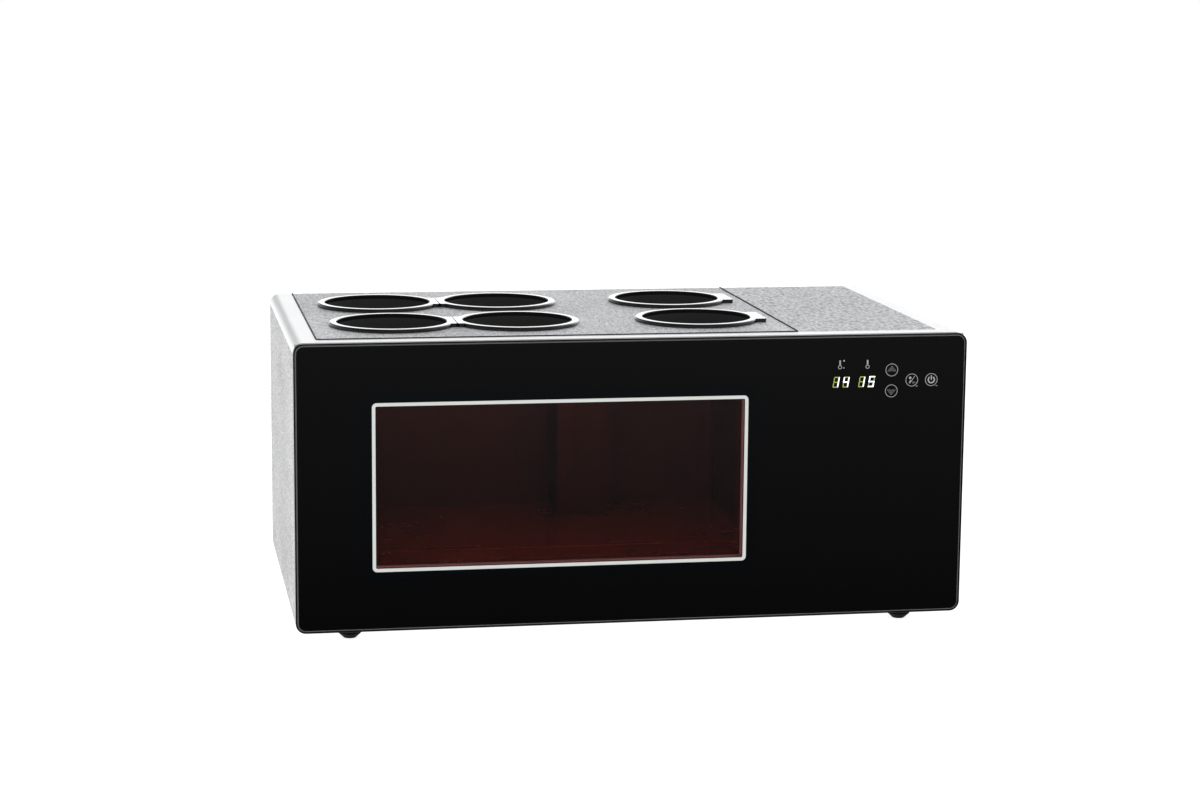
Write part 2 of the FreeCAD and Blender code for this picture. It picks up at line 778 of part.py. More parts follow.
def air_duct():
    outer = duct_outline(0, cavity_y1)
    outer.translate(vec(0, 0, liner_floor))
    shell = outer.extrude(vec(0, 0, duct_top - liner_floor))
    inner = duct_outline(duct_wall, cavity_y1 + 1)
    inner.translate(vec(0, 0, liner_floor + duct_wall))
    shell = shell.cut(inner.extrude(vec(0, 0, duct_top - liner_floor - 2 * duct_wall)))
    slots = []
    for i in range(duct_inlets):
        z = sink_z + (i - (duct_inlets - 1) / 2) * duct_slot_pitch
        slots.append(box(duct_step_x + duct_wall, duct_x1 - 2 * duct_wall, duct_front - 1,
                         duct_front + duct_wall + 1, z - duct_slot / 2, z + duct_slot / 2))
    for i in range(duct_outlets):
        z = tray_top + (i + 2) * duct_slot_pitch
        slots.append(box(duct_x1 - duct_wall - 1, duct_x1 + 1, duct_front + 5 * duct_wall,
                         cavity_y1 - 5 * duct_wall, z - duct_slot / 2, z + duct_slot / 2))
    return without(shell, slots)


def finned_sink(base, fin_y, x_mid, side, count, z0, z1):
    """Base plate with upright fins spread over its width."""
    pitch = (side - fin_thick) / (count - 1)
    fins = []
    for i in range(count):
        x = x_mid - side / 2 + i * pitch
        fins.append(box(x, x + fin_thick, fin_y[0], fin_y[1], z0, z1))
    return joined([base] + fins)


def cold_sink():
    z_mid = sink_z - cold_sink_drop
    z0, z1 = z_mid - cold_sink_height / 2, z_mid + cold_sink_height / 2
    half = cold_sink_width / 2
    base = box(duct_mid - half, duct_mid + half, cavity_y1 - cold_base, cavity_y1, z0, z1)
    return finned_sink(base, (cold_fin_tip, cavity_y1 - cold_base + 0.5), duct_mid,
                       cold_sink_width, cold_fins, z0, z1)


def cold_block():
    return block_opening(cavity_y1, module_front)


def cooling_module():
    """Two ceramic plates with the elements between them."""
    body = block_opening(module_front, hot_front)
    half = module_side / 2 - module_plate
    core = box(duct_mid - half, duct_mid + half, module_front, hot_front,
               sink_z - half, sink_z + half)
    waist = box(0, width, module_front + module_plate, hot_front - module_plate, 0, top)
    return body.cut(waist.cut(core))


def hot_sink():
    half = hot_sink_side / 2
    base = box(duct_mid - half, duct_mid + half, hot_front, hot_front + hot_base,
               sink_z - half, sink_z + half)
    return finned_sink(base, (hot_front + hot_base - 0.5, hot_fan_front), duct_mid,
                       hot_sink_side, hot_fins, sink_z - half, sink_z + half)


def fan_frame(side, y0):
    """Square fan frame with a round duct, its motor plate on three struts, and the shaft."""
    y1 = y0 + fan_thick
    half = side / 2
    duct_r = half - fan_wall
    plate = rounded_y(duct_mid - half, duct_mid + half, sink_z - half, sink_z + half,
                      2 * fan_wall, y0, y1)
    plate = plate.cut(fore_aft(duct_r, duct_mid, sink_z, y0 - 1, y1 + 1))
    hub_r = side * fan_hub_share
    parts = [plate, fore_aft(hub_r, duct_mid, sink_z, y1 - motor_plate, y1),
             fore_aft(shaft_r, duct_mid, sink_z, y0 + fan_wall, y1 - motor_plate / 2)]
    for turn in (90, 210, 330):
        strut = box(hub_r - 1, duct_r + fan_wall / 2, y1 - motor_plate, y1,
                    -strut_width / 2, strut_width / 2)
        strut.rotate(vec(0, 0, 0), vec(0, 1, 0), turn)
        strut.translate(vec(duct_mid, 0, sink_z))
        parts.append(strut)
    hole_at = half - fan_hole_inset
    holes = [fore_aft(fan_hole_r, duct_mid + sx * hole_at, sink_z + sz * hole_at, y0 - 1, y1 + 1)
             for sx in (-1, 1) for sz in (-1, 1)]
    return without(joined(parts), holes)


def fan_rotor(side, y0):
    """Hub with pitched blades, running on the frame's shaft."""
    front, back = y0 + rotor_front, y0 + fan_thick - rotor_back
    hub_r = side * fan_hub_share
    tip_r = side / 2 - fan_wall - rotor_gap
    blades = []
    for i in range(blade_count):
        blade = box(hub_r - 1.5, tip_r + 2, -fan_thick, fan_thick, -blade_thick / 2, blade_thick / 2)
        blade.rotate(vec(0, 0, 0), vec(1, 0, 0), blade_pitch)
        blade.rotate(vec(0, 0, 0), vec(0, 1, 0), 360.0 * i / blade_count)
        blades.append(blade)
    fan = group(blades)
    fan.translate(vec(duct_mid, (front + back) / 2, sink_z))
    trim = fore_aft(tip_r, duct_mid, sink_z, front, back)
    hub = fore_aft(hub_r, duct_mid, sink_z, front, back)
    solids = [blade.common(trim) for blade in fan.Solids]
    bore = fore_aft(shaft_r + shaft_clearance, duct_mid, sink_z, y0, y0 + fan_thick)
    return joined([hub] + solids).cut(bore)


def air_probe():
    """Temperature probe upright in the duct's step, in its clip on the duct's left wall."""
    wall = duct_x0 + duct_wall
    x = wall + probe_r + duct_wall
    y = duct_step_front + duct_wall + 2 * probe_r + duct_wall
    z0 = sink_z - cold_sink_height / 2
    probe = upright(probe_r, x, y, z0, z0 + probe_length)
    clip = box(wall, x, y - probe_r / 2, y + probe_r / 2, z0 + probe_length / 3,
               z0 + probe_length * 2 / 3)
    return joined([probe, clip])


# --- Light -----------------------------------------------------------------------------------
def light_board():
    half = light_board_height / 2
    board = box(light_x0, light_x1, cavity_y0, cavity_y0 + light_board_thick,
                light_z - half, light_z + half)
    pitch = (light_x1 - light_x0) / light_count
    lamps = []
    for i in range(light_count):
        x = light_x0 + (i + 0.5) * pitch
        lamps.append(box(x - light_size / 2, x + light_size / 2, cavity_y0 + 0.5,
                         cavity_y0 + light_board_thick + light_stand,
                         light_z - light_size / 2, light_z + light_size / 2))
    return joined([board] + lamps)


def light_diffuser():
    """Translucent trough over the light board, rounded at its lower front."""
    half = diffuser_height / 2
    x0, x1 = light_x0 - 2 * diffuser_wall, light_x1 + 2 * diffuser_wall
    outer = box(x0, x1, cavity_y0, cavity_y0 + diffuser_depth, light_z - half, light_z + half)
    front = edges_along(outer, vec(1, 0, 0), lambda p: p.y > cavity_y0 + 1)
    outer = outer.makeFillet(diffuser_round, front)
    inner = box(x0 + diffuser_wall, x1 - diffuser_wall, cavity_y0 - 1,
                cavity_y0 + diffuser_depth - diffuser_wall,
                light_z - half + diffuser_wall, light_z + half - diffuser_wall)
    front = edges_along(inner, vec(1, 0, 0), lambda p: p.y > cavity_y0 + 1)
    return outer.cut(inner.makeFillet(diffuser_round - diffuser_wall, front))


# --- Machine space -----------------------------------------------------------------------------
def power_supply():
    """Power supply on the cabinet's floor: vented case, its coil and two capacitors, terminals."""
    x0 = bulkhead_x + supply_from_bulkhead
    x1 = width - supply_from_right
    y0 = supply_from_front
    high = sheet + supply_height
    case = box(x0, x1, y0, y0 + supply_length, sheet, high)
    floor = sheet + supply_wall
    hollow = box(x0 + supply_wall, x1 - supply_wall, y0 + supply_wall,
                 y0 + supply_length - supply_wall, floor, high - supply_wall)
    side = (x1 - x0) / 6
    slots = []
    for i in range(1, int(supply_length / vent_pitch) - 1):
        y = y0 + i * vent_pitch
        slots.append(box(x0 + side, x1 - side, y, y + vent_height, high - 2 * supply_wall, high + 1))
    terminals = box(x0 + side / 2, x1 - side / 2, y0 - terminal_depth, y0, sheet,
                    sheet + terminal_height)
    middle, inside = y0 + supply_length / 2, supply_height - 3 * supply_wall
    parts = [without(case, [hollow] + slots), terminals,
             box(x0 + 2 * side, x0 + 4 * side, middle, middle + 2 * side, floor, floor + inside * 0.8)]
    for x in (x0 + 2 * side, x0 + 4 * side):
        parts.append(upright(side / 2, x, middle - 2 * side, floor, floor + inside * 0.9))
    return joined(parts)


def control_board():
    """Circuit board on four standoffs, upright on the bulkhead."""
    x0, x1 = board_x, board_x + board_thick
    y0, y1 = control_from_front, control_from_front + control_length
    z0, z1 = control_bottom, control_bottom + control_height
    parts = [box(x0, x1, y0, y1, z0, z1)]
    corner = 2 * standoff_r
    for y in (y0 + corner, y1 - corner):
        for z in (z0 + corner, z1 - corner):
            parts.append(cylinder(standoff_r, vec(bulkhead_x + sheet, y, z), vec(1, 0, 0), standoff))
    cell = control_length / 13
    transformer = box(x1, x1 + 2.2 * cell, y0 + cell, y0 + 4 * cell, z0 + cell, z0 + 4 * cell)
    plug = box(x1, x1 + cell, y1 - 5 * cell, y1 - 1.5 * cell, z1 - 2.5 * cell, z1 - 1.5 * cell)
    chip = box(x1, x1 + cell / 4, y0 + 5.5 * cell, y0 + 7.5 * cell, z0 + 5 * cell, z0 + 7 * cell)
    parts += [transformer, plug, chip]
    for step in (6, 8):
        parts.append(cylinder(cell * 0.6, vec(x1, y0 + step * cell, z0 + 2.4 * cell),
                              vec(1, 0, 0), 2.2 * cell))
    return joined(parts)


def mains_inlet():
    """Three-pin appliance inlet, held behind the rear panel by its flange."""
    half_w, half_h = inlet_width / 2, inlet_height / 2
    body = box(inlet_x - half_w, inlet_x + half_w, panel_back - inlet_depth, panel_back,
               inlet_z - half_h, inlet_z + half_h)
    flange = rounded_y(inlet_x - half_w - inlet_flange, inlet_x + half_w + inlet_flange,
                       inlet_z - half_h - inlet_wall, inlet_z + half_h + inlet_wall, inlet_wall,
                       panel_front - inlet_flange_thick, panel_front)
    socket = box(inlet_x - half_w + inlet_wall, inlet_x + half_w - inlet_wall,
                 panel_back - socket_depth, panel_back + 1,
                 inlet_z - half_h + inlet_wall, inlet_z + half_h - inlet_wall)
    top_edges = edges_along(socket, vec(0, 1, 0), lambda p: p.z > inlet_z)
    socket = socket.makeChamfer(2 * inlet_wall, top_edges)
    parts = [joined([body, flange]).cut(socket)]
    floor = panel_back - socket_depth
    for dx, dz in ((-7.0, -2.0), (7.0, -2.0), (0.0, 2.0)):
        parts.append(box(inlet_x + dx - 1.0, inlet_x + dx + 1.0, floor - 1, floor + contact_length,
                         inlet_z + dz - 2.0, inlet_z + dz + 2.0))
    return joined(parts)


# --- Touch panel -------------------------------------------------------------------------------
def display_board():
    return touch_window(panel_land, bezel_depth, bezel_depth + board_thick)


def digit_bars(x, z):
    """The seven bars of one digit, as shallow recesses."""
    w, h, t = digit_width, digit_height, digit_stroke
    y0, y1 = glass_back, glass_back + key_gap + digit_depth
    left, right = x - w / 2, x + w / 2
    for level in (z - h / 2, z - t / 2, z + h / 2 - t):
        yield box(left + t, right - t, y0, y1, level, level + t)
    for low, high in ((z - h / 2 + t, z - t / 2), (z + t / 2, z + h / 2 - t)):
        yield box(left, left + t, y0, y1, low + digit_gap, high - digit_gap)
        yield box(right - t, right, y0, y1, low + digit_gap, high - digit_gap)


def display(x_mid):
    half_w, half_h = display_width / 2, display_height / 2
    block = box(x_mid - half_w, x_mid + half_w, glass_back + key_gap, bezel_depth,
                display_z - half_h, display_z + half_h)
    bars = []
    for offset in (-digit_pitch / 2, digit_pitch / 2):
        bars += list(digit_bars(x_mid + offset, display_z))
    return without(block, bars)


def touch_pads():
    """Sensing pads behind the glass, one for each key, on the display board."""
    pads = []
    for dx, dz in key_offsets:
        x, z = panel_x + dx, panel_z + dz
        pad = fore_aft(key_r, x, z, glass_back + key_gap, bezel_depth)
        pads.append(pad.cut(fore_aft(key_r - key_wall, x, z, glass_back, bezel_depth - key_floor)))
    return group(pads)


# --- Feet and fasteners ------------------------------------------------------------------------
def foot(x, y):
    low = -foot_height
    shank = upright(foot_r, x, y, low + foot_taper, 0)
    tip = Part.makeCone(foot_tip_r, foot_r, foot_taper, vec(x, y, low))
    recess = upright(foot_recess_r, x, y, low - 1, low + foot_recess)
    return without(joined([shank, tip]), [recess, upright(screw_r, x, y, low, 1)])


def foot_screw(x, y):
    head_z = -foot_height + foot_recess
    head = upright(screw_head_r, x, y, head_z - screw_head, head_z)
    return joined([head, upright(screw_r, x, y, head_z - screw_head / 2, sheet + screw_grip)])


def rear_screw(x, z):
    head = fore_aft(screw_head_r, x, z, panel_back, depth)
    slot = box(x - screw_head_r, x + screw_head_r, depth - screw_slot, depth + 1,
               z - screw_slot / 2, z + screw_slot / 2)
    shank = fore_aft(screw_r, x, z, rear_end - screw_grip, panel_back + screw_head / 2)
    return joined([head.cut(slot), shank])


def build():
    """All nodes by name, in working axes."""
    nodes = {
        "outer_wrap": outer_wrap(),
        "top_frame": top_frame(),
        "rail_end_caps": rail_ends(),
        "top_plate": top_plate(),
        "rear_panel": rear_panel(),
        "bulkhead": bulkhead(),
        "front_bezel": front_bezel(),
        "front_glass": front_glass(),
        "window_trim": window_trim(),
        "outer_pane": outer_pane(),
        "window_spacer": window_spacer(),
        "inner_pane": inner_pane(),
        "cavity_liner": cavity_liner(),
        "floor_tray_front": floor_tray_front(),
        "floor_tray_rear": floor_tray_rear(),
        "air_duct": air_duct(),
        "light_board": light_board(),
        "light_diffuser": light_diffuser(),
        "cold_sink": cold_sink(),
        "cold_block": cold_block(),
        "cooling_module": cooling_module(),
        "hot_sink": hot_sink(),
        "circulation_fan_frame": fan_frame(inner_fan_side, cold_fin_tip - fan_thick),
        "circulation_fan_rotor": fan_rotor(inner_fan_side, cold_fin_tip - fan_thick),
        "exhaust_fan_frame": fan_frame(outer_fan_side, hot_fan_front),
        "exhaust_fan_rotor": fan_rotor(outer_fan_side, hot_fan_front),
        "air_probe": air_probe(),
        "power_supply": power_supply(),
        "control_board": control_board(),
        "mains_inlet": mains_inlet(),
        "display_board": display_board(),
        "display_left": display(panel_x + display_offsets[0]),
        "display_right": display(panel_x + display_offsets[1]),
        "touch_pads": touch_pads(),
        "feet": group(foot(x, y) for x, y in foot_centres()),
        "foot_screws": group(foot_screw(x, y) for x, y in foot_centres()),
        "rear_screws": group(rear_screw(x, z) for x, z in rear_screw_places()),
        "lid_plate": lid_plate(),
        "lid_foam": lid_plug(lid_under + lid_liner_thick, top - plate_thick),
        "lid_liner": lid_plug(lid_under, lid_under + lid_liner_thick),
        "lid_gasket": lid_gasket(),
        "lid_edge_seal": lid_edge_seal(),
    }
    around = ("outer_wrap", "top_frame", "bulkhead", "display_board", "foot_screws", "rear_screws")
    nodes["cabinet_foam"] = cabinet_foam([nodes[name] for name in around])
    shared_ear = near_pitch / 2 - ear_slit / 2
    free_ear_end = well_r + free_ear
    pins, springs = [], []
    for name, x, y, side in wells():
        ear_end = free_ear_end if x == columns[2] else shared_ear
        nodes["collar_" + name] = to_well(collar(ear_end), x, y, side)
        nodes["flap_" + name] = to_well(flap(), x, y, side)
        pins.append(to_well(hinge_pin(), x, y, side))
        springs.append(to_well(flap_spring(), x, y, side))
    nodes["hinge_pins"] = group(pins)
    nodes["flap_springs"] = group(springs)
    return nodes


os.makedirs("parts", exist_ok=True)
to_row_frame = vec(-width / 2, -depth / 2, foot_height)
for node, shape in build().items():
    shape.translate(to_row_frame)
    shape.exportStep("parts/" + node + ".step")
    sizes = shape.BoundBox
    print("%-24s solids %2d valid %s volume %10.0f  z %.1f to %.1f" % (
        node, len(shape.Solids), shape.isValid(), shape.Volume, sizes.ZMin, sizes.ZMax))
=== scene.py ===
# %% [markdown]
# # An open-bottle wine cooler, dressed in Blender
#
# The cooler is a counter-top cabinet. Opened bottles stand in six wells of its lid, a lit window shows
# the cold cavity, and a touch panel sets the temperature. Its solids come ready-made from the CAD
# model, so this lesson gives them their finishes and adds the fine printed and punched details.

# %% Load the solids
import json
import math
import bpy
from mathutils import Matrix, Vector


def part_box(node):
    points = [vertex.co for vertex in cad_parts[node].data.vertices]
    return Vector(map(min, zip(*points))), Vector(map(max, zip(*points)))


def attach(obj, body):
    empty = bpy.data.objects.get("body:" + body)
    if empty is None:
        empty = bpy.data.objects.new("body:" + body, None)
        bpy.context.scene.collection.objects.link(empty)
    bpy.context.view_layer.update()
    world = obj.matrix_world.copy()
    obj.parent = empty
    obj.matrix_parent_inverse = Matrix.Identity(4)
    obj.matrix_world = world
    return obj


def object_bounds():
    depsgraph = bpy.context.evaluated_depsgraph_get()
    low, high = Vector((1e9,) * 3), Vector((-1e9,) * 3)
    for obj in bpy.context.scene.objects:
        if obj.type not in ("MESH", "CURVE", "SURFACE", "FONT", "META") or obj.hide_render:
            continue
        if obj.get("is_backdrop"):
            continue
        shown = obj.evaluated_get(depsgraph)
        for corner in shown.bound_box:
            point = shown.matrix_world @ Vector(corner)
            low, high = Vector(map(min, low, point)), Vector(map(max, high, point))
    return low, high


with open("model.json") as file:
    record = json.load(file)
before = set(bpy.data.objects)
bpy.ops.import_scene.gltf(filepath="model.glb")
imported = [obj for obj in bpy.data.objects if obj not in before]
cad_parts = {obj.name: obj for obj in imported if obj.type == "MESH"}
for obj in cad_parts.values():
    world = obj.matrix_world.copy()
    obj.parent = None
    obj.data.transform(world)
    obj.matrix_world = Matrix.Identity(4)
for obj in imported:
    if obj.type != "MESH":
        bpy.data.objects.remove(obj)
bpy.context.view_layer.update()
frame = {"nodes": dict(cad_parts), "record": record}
record = frame["record"]

# %% [markdown]
# ## The studio
#
# A product is photographed on a white sweep, with a large soft lamp above and white walls round it. We
# could model the walls, but a world shader that depends on direction does the same with less. What
# lights matt surfaces is even, and what gloss surfaces mirror has form: bright behind the cooler, so
# that its rings shine, and dark in front, where the camera stands, so that the black glass stays black.
# A dark gap on the upper left breaks the bright line along the rings.

# %% Floor
FLOOR_SIDE = 60.0        # metres, so that the camera sees no rim

bpy.ops.object.select_all(action="DESELECT")
bpy.ops.mesh.primitive_plane_add(size=FLOOR_SIDE, location=(0, 0, 0))
floor = bpy.context.object
floor.name = "studio_floor"
floor.visible_glossy = False
floor.visible_transmission = False
floor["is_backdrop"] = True
print("floor side, m:", floor.dimensions.x)


# %% [markdown]
# Every node tree below is built with the same few helpers: `add_node` makes a node, sets its options
# and plugs values or links into its sockets; `maths` and `blend` are the two nodes used most. In the
# world's tree, `ramp` gets a component of the direction, which goes from -1 to 1.

# %% Helpers for node trees
def add_node(tree, kind, inputs=None, **options):
    """A new node: its options are set first, then each input gets a link or a value."""
    made = tree.nodes.new("ShaderNode" + kind)
    for name, value in options.items():
        setattr(made, name, value)
    for name, value in (inputs or {}).items():
        if isinstance(value, bpy.types.NodeSocket):
            tree.links.new(value, made.inputs[name])
        else:
            made.inputs[name].default_value = value
    return made


def maths(tree, operation, first, second=0.0, clamp=False):
    """Result of one operation on two values or links."""
    return add_node(tree, "Math", {0: first, 1: second}, operation=operation, use_clamp=clamp).outputs[0]


def blend(tree, mask, first, second):
    """Colour that goes from first to second as the mask goes from 0 to 1."""
    return add_node(tree, "Mix", {0: mask, 6: first, 7: second}, data_type="RGBA").outputs[2]


def ramp(tree, value, low, high, to_low=0.0, to_high=1.0, smooth=True):
    """Value spread from one range to another, and held at its ends."""
    kind = "SMOOTHSTEP" if smooth else "LINEAR"
    spread = add_node(tree, "MapRange", {"Value": value, "From Min": low, "From Max": high,
                                         "To Min": to_low, "To Max": to_high},
                      interpolation_type=kind)
    return spread.outputs["Result"]


def opaque(colour):
    """Colour with its alpha, as the sockets want it."""
    return (*colour, 1.0)


WHITE = opaque((1.0, 1.0, 1.0))

# %% World light
LEVEL_ASIDE, LEVEL_ABOVE, LEVEL_IN_FRONT = 0.60, 0.82, 0.86      # what lights matt surfaces
MIRRORED_ASIDE, MIRRORED_GAP = 0.80, 0.05                        # what gloss surfaces mirror
MIRRORED_BACK_LOW, MIRRORED_BACK_HIGH = 2.2, 1.2
MIRRORED_FRONT_LOW, MIRRORED_FRONT_HIGH = 0.02, 0.14

world = bpy.data.worlds.new("white studio")
bpy.context.scene.world = world
world.use_nodes = True
sky = world.node_tree
sky.nodes.clear()
direction = add_node(sky, "SeparateXYZ", {0: add_node(sky, "TexCoord").outputs["Generated"]})
to_right, to_back, upwards = (direction.outputs[axis] for axis in "XYZ")


def fade(mask, first, second):
    """Level that goes from first to second as the mask goes from 0 to 1."""
    return add_node(sky, "Mix", {0: mask, 2: first, 3: second}, data_type="FLOAT").outputs[0]


even_level = fade(ramp(sky, upwards, 0.1, 0.9), LEVEL_ASIDE, LEVEL_ABOVE)
even_level = fade(ramp(sky, to_back, -0.3, -0.9), even_level, LEVEL_IN_FRONT)
back_level = fade(ramp(sky, upwards, 0.45, 0.80), MIRRORED_BACK_LOW, MIRRORED_BACK_HIGH)
front_level = ramp(sky, upwards, -0.26, -0.13, MIRRORED_FRONT_LOW, MIRRORED_FRONT_HIGH, smooth=False)
mirror_level = fade(ramp(sky, to_back, 0.35, 0.80), MIRRORED_ASIDE, back_level)
in_front = maths(sky, "MULTIPLY", ramp(sky, to_back, -0.10, -0.60), ramp(sky, upwards, -0.60, -0.30))
mirror_level = fade(in_front, mirror_level, front_level)
lamp_gap = maths(sky, "MULTIPLY", ramp(sky, to_right, 0.02, -0.10), ramp(sky, upwards, 0.02, 0.12))
mirror_level = fade(maths(sky, "MULTIPLY", lamp_gap, 0.85), mirror_level, MIRRORED_GAP)
ray = add_node(sky, "LightPath").outputs
level = fade(maths(sky, "MAXIMUM", ray["Is Glossy Ray"], ray["Is Transmission Ray"]),
             even_level, mirror_level)
lit = add_node(sky, "Background", {"Strength": level, "Color": WHITE})
plain = add_node(sky, "Background", {"Strength": 1.0, "Color": WHITE})
both = add_node(sky, "MixShader", {0: ray["Is Camera Ray"], 1: lit.outputs[0], 2: plain.outputs[0]})
add_node(sky, "OutputWorld", {"Surface": both.outputs[0]})
bpy.context.scene.view_settings.view_transform = "Standard"
print("world nodes:", len(sky.nodes))

# %% Soft lamp
LAMP_PLACE, LAMP_AIM = Vector((-0.2, -0.1, 1.7)), Vector((0.0, 0.0, 0.2))
LAMP_SIDES, LAMP_WATTS = (1.6, 1.0), 1.5

panel = bpy.data.lights.new("lamp_above", "AREA")
panel.shape = "RECTANGLE"
panel.size, panel.size_y = LAMP_SIDES
panel.energy = LAMP_WATTS
lamp = bpy.data.objects.new("lamp_above", panel)
lamp.location = LAMP_PLACE
lamp.rotation_euler = (LAMP_AIM - LAMP_PLACE).to_track_quat("-Z", "Y").to_euler()
bpy.context.scene.collection.objects.link(lamp)
print("lamp above the floor, m:", round(LAMP_PLACE.z, 2))

# %% [markdown]
# ## The camera
#
# The camera stands about 2.7 m in front of the cooler, a little to its left and above it, with a long
# lens. It is placed by its turn to the right, its tilt down and its slight lean, one rotation each.

# %% Camera
CAMERA_PLACE = (-0.4973, -2.7239, 0.6680)
CAMERA_TURN, CAMERA_TILT, CAMERA_LEAN = 0.1798, 0.1661, 0.0087   # radians
LENS = 80.17             # millimetres, for a sensor 36 mm wide

camera = bpy.data.objects.new("camera", bpy.data.cameras.new("camera"))
camera.data.lens = LENS
camera.data.sensor_width = 36.0
camera.data.clip_end = 100.0
camera.matrix_world = (Matrix.Translation(CAMERA_PLACE) @ Matrix.Rotation(-CAMERA_TURN, 4, "Z")
                       @ Matrix.Rotation(math.pi / 2 - CAMERA_TILT, 4, "X")
                       @ Matrix.Rotation(CAMERA_LEAN, 4, "Z"))
bpy.context.scene.collection.objects.link(camera)
bpy.context.scene.camera = camera
print("camera to cooler, m:", round(Vector(CAMERA_PLACE).length, 3))

# %% [markdown]
# ## Patterns that several finishes share
#
# A pattern such as a grain is made once as a node group and placed in each material with its own
# size and strength. All patterns here have the same sockets: they take coordinates, a feature size in
# metres and a contrast, and give a `Tone` from 0 to 1 for the colour and a `Height` for the bump.


# %% Helper for node groups
def new_group(name, sockets_in, sockets_out):
    """Empty node group with its input and output sockets: name -> default, or None for a vector."""
    tree = bpy.data.node_groups.new(name, "ShaderNodeTree")
    for label, value in sockets_in.items():
        kind = "NodeSocketVector" if value is None else "NodeSocketFloat"
        socket = tree.interface.new_socket(name=label, in_out="INPUT", socket_type=kind)
        if value is not None:
            socket.default_value = value
    for label in sockets_out:
        tree.interface.new_socket(name=label, in_out="OUTPUT", socket_type="NodeSocketFloat")
    start = tree.nodes.new("NodeGroupInput")
    end = tree.nodes.new("NodeGroupOutput")
    return tree, start.outputs, end.inputs


def give(tree, value, socket):
    """Links one socket to another."""
    tree.links.new(value, socket)


patterns = {}


def new_pattern(name):
    """New pattern's tree, its inputs and outputs, and its scale, which is one over the feature size."""
    tree, start, end = new_group(name, {"Vector": None, "Size": 0.001, "Contrast": 1.0}, ("Tone", "Height"))
    return tree, start, end, maths(tree, "DIVIDE", 1.0, start["Size"])


def noise(tree, place, scale, detail=2.0, roughness=0.5, distortion=0.0):
    """Noise value, 0 to 1, with features about 1 / scale metres across."""
    return add_node(tree, "TexNoise", {"Vector": place, "Scale": scale, "Detail": detail,
                                       "Roughness": roughness, "Distortion": distortion}).outputs[0]


def weigh(tree, first, share, second, other_share):
    """Sum of two values, each times its share."""
    return maths(tree, "ADD", maths(tree, "MULTIPLY", first, share),
                 maths(tree, "MULTIPLY", second, other_share))


def contrasted(tree, value, contrast):
    """Value pushed away from one half."""
    centred = maths(tree, "SUBTRACT", value, 0.5)
    return maths(tree, "ADD", maths(tree, "MULTIPLY", centred, contrast), 0.5, clamp=True)


def close_pattern(tree, end, tone, relief, contrast):
    """Plugs in what the pattern gives, and puts it among the patterns."""
    give(tree, contrasted(tree, tone, contrast), end["Tone"])
    give(tree, relief, end["Height"])
    patterns[tree.name] = tree
    print("pattern", tree.name, "-", len(tree.nodes), "nodes")


# %% [markdown]
# The cabinet's metal is sprayed with a hammered silver paint: short worm-like flecks, finer specks
# between them and faint clouds over the whole sheet. Distorted noise gives the flecks.

# %% Hammered paint
tree, start, end, per_metre = new_pattern("hammered_paint")
flecks = noise(tree, start["Vector"], per_metre, 2.0, 0.55, 1.4)
specks = noise(tree, start["Vector"], maths(tree, "MULTIPLY", per_metre, 2.7), 1.0, 0.6, 0.5)
clouds = noise(tree, start["Vector"], 14.0, 2.0)
fine = weigh(tree, flecks, 0.55, specks, 0.30)
tone = maths(tree, "ADD", fine, maths(tree, "MULTIPLY", clouds, 0.15))
close_pattern(tree, end, tone, fine, start["Contrast"])

# %% Pebbled paint, for the fixed plate
tree, start, end, per_metre = new_pattern("pebbled_paint")
pebbles = add_node(tree, "TexVoronoi", {"Vector": start["Vector"], "Scale": per_metre},
                   feature="SMOOTH_F1").outputs["Distance"]
pebbles = maths(tree, "SUBTRACT", 1.0, pebbles)
specks = noise(tree, start["Vector"], maths(tree, "MULTIPLY", per_metre, 1.6), 2.0, 0.6, 0.8)
tone = weigh(tree, pebbles, 0.45, specks, 0.45)
close_pattern(tree, end, tone, tone, start["Contrast"])

# %% Fine grain of a moulded part
tree, start, end, per_metre = new_pattern("moulded_grain")
grain = noise(tree, start["Vector"], per_metre, 3.0, 0.6, 0.3)
clouds = noise(tree, start["Vector"], 22.0, 2.0)
tone = weigh(tree, grain, 0.5, clouds, 0.5)
close_pattern(tree, end, tone, grain, start["Contrast"])

# %% [markdown]
# Brushed metal has long fine scratches. The same noise gives them when its coordinates are squeezed
# along the scratches, which each material does with a Mapping node before the group.

# %% Brushed metal
tree, start, end, per_metre = new_pattern("brushed_metal")
scratches = noise(tree, start["Vector"], per_metre, 4.0, 0.65)
clouds = noise(tree, start["Vector"], 30.0, 2.0)
tone = weigh(tree, scratches, 0.7, clouds, 0.3)
close_pattern(tree, end, tone, scratches, start["Contrast"])

# %% Crystals of galvanised sheet
tree, start, end, per_metre = new_pattern("zinc_spangle")
crystals = add_node(tree, "TexVoronoi", {"Vector": start["Vector"], "Scale": per_metre})
shade = add_node(tree, "SeparateColor", {0: crystals.outputs["Color"]}).outputs[0]
haze = noise(tree, start["Vector"], 40.0, 3.0)
tone = weigh(tree, shade, 0.6, haze, 0.4)
close_pattern(tree, end, tone, shade, start["Contrast"])

# %% Pores of rigid foam
tree, start, end, per_metre = new_pattern("foam_pores")
pores = add_node(tree, "TexVoronoi", {"Vector": start["Vector"], "Scale": per_metre}).outputs["Distance"]
skin = noise(tree, start["Vector"], 25.0, 3.0)
tone = weigh(tree, pores, 0.5, skin, 0.5)
close_pattern(tree, end, tone, pores, start["Contrast"])

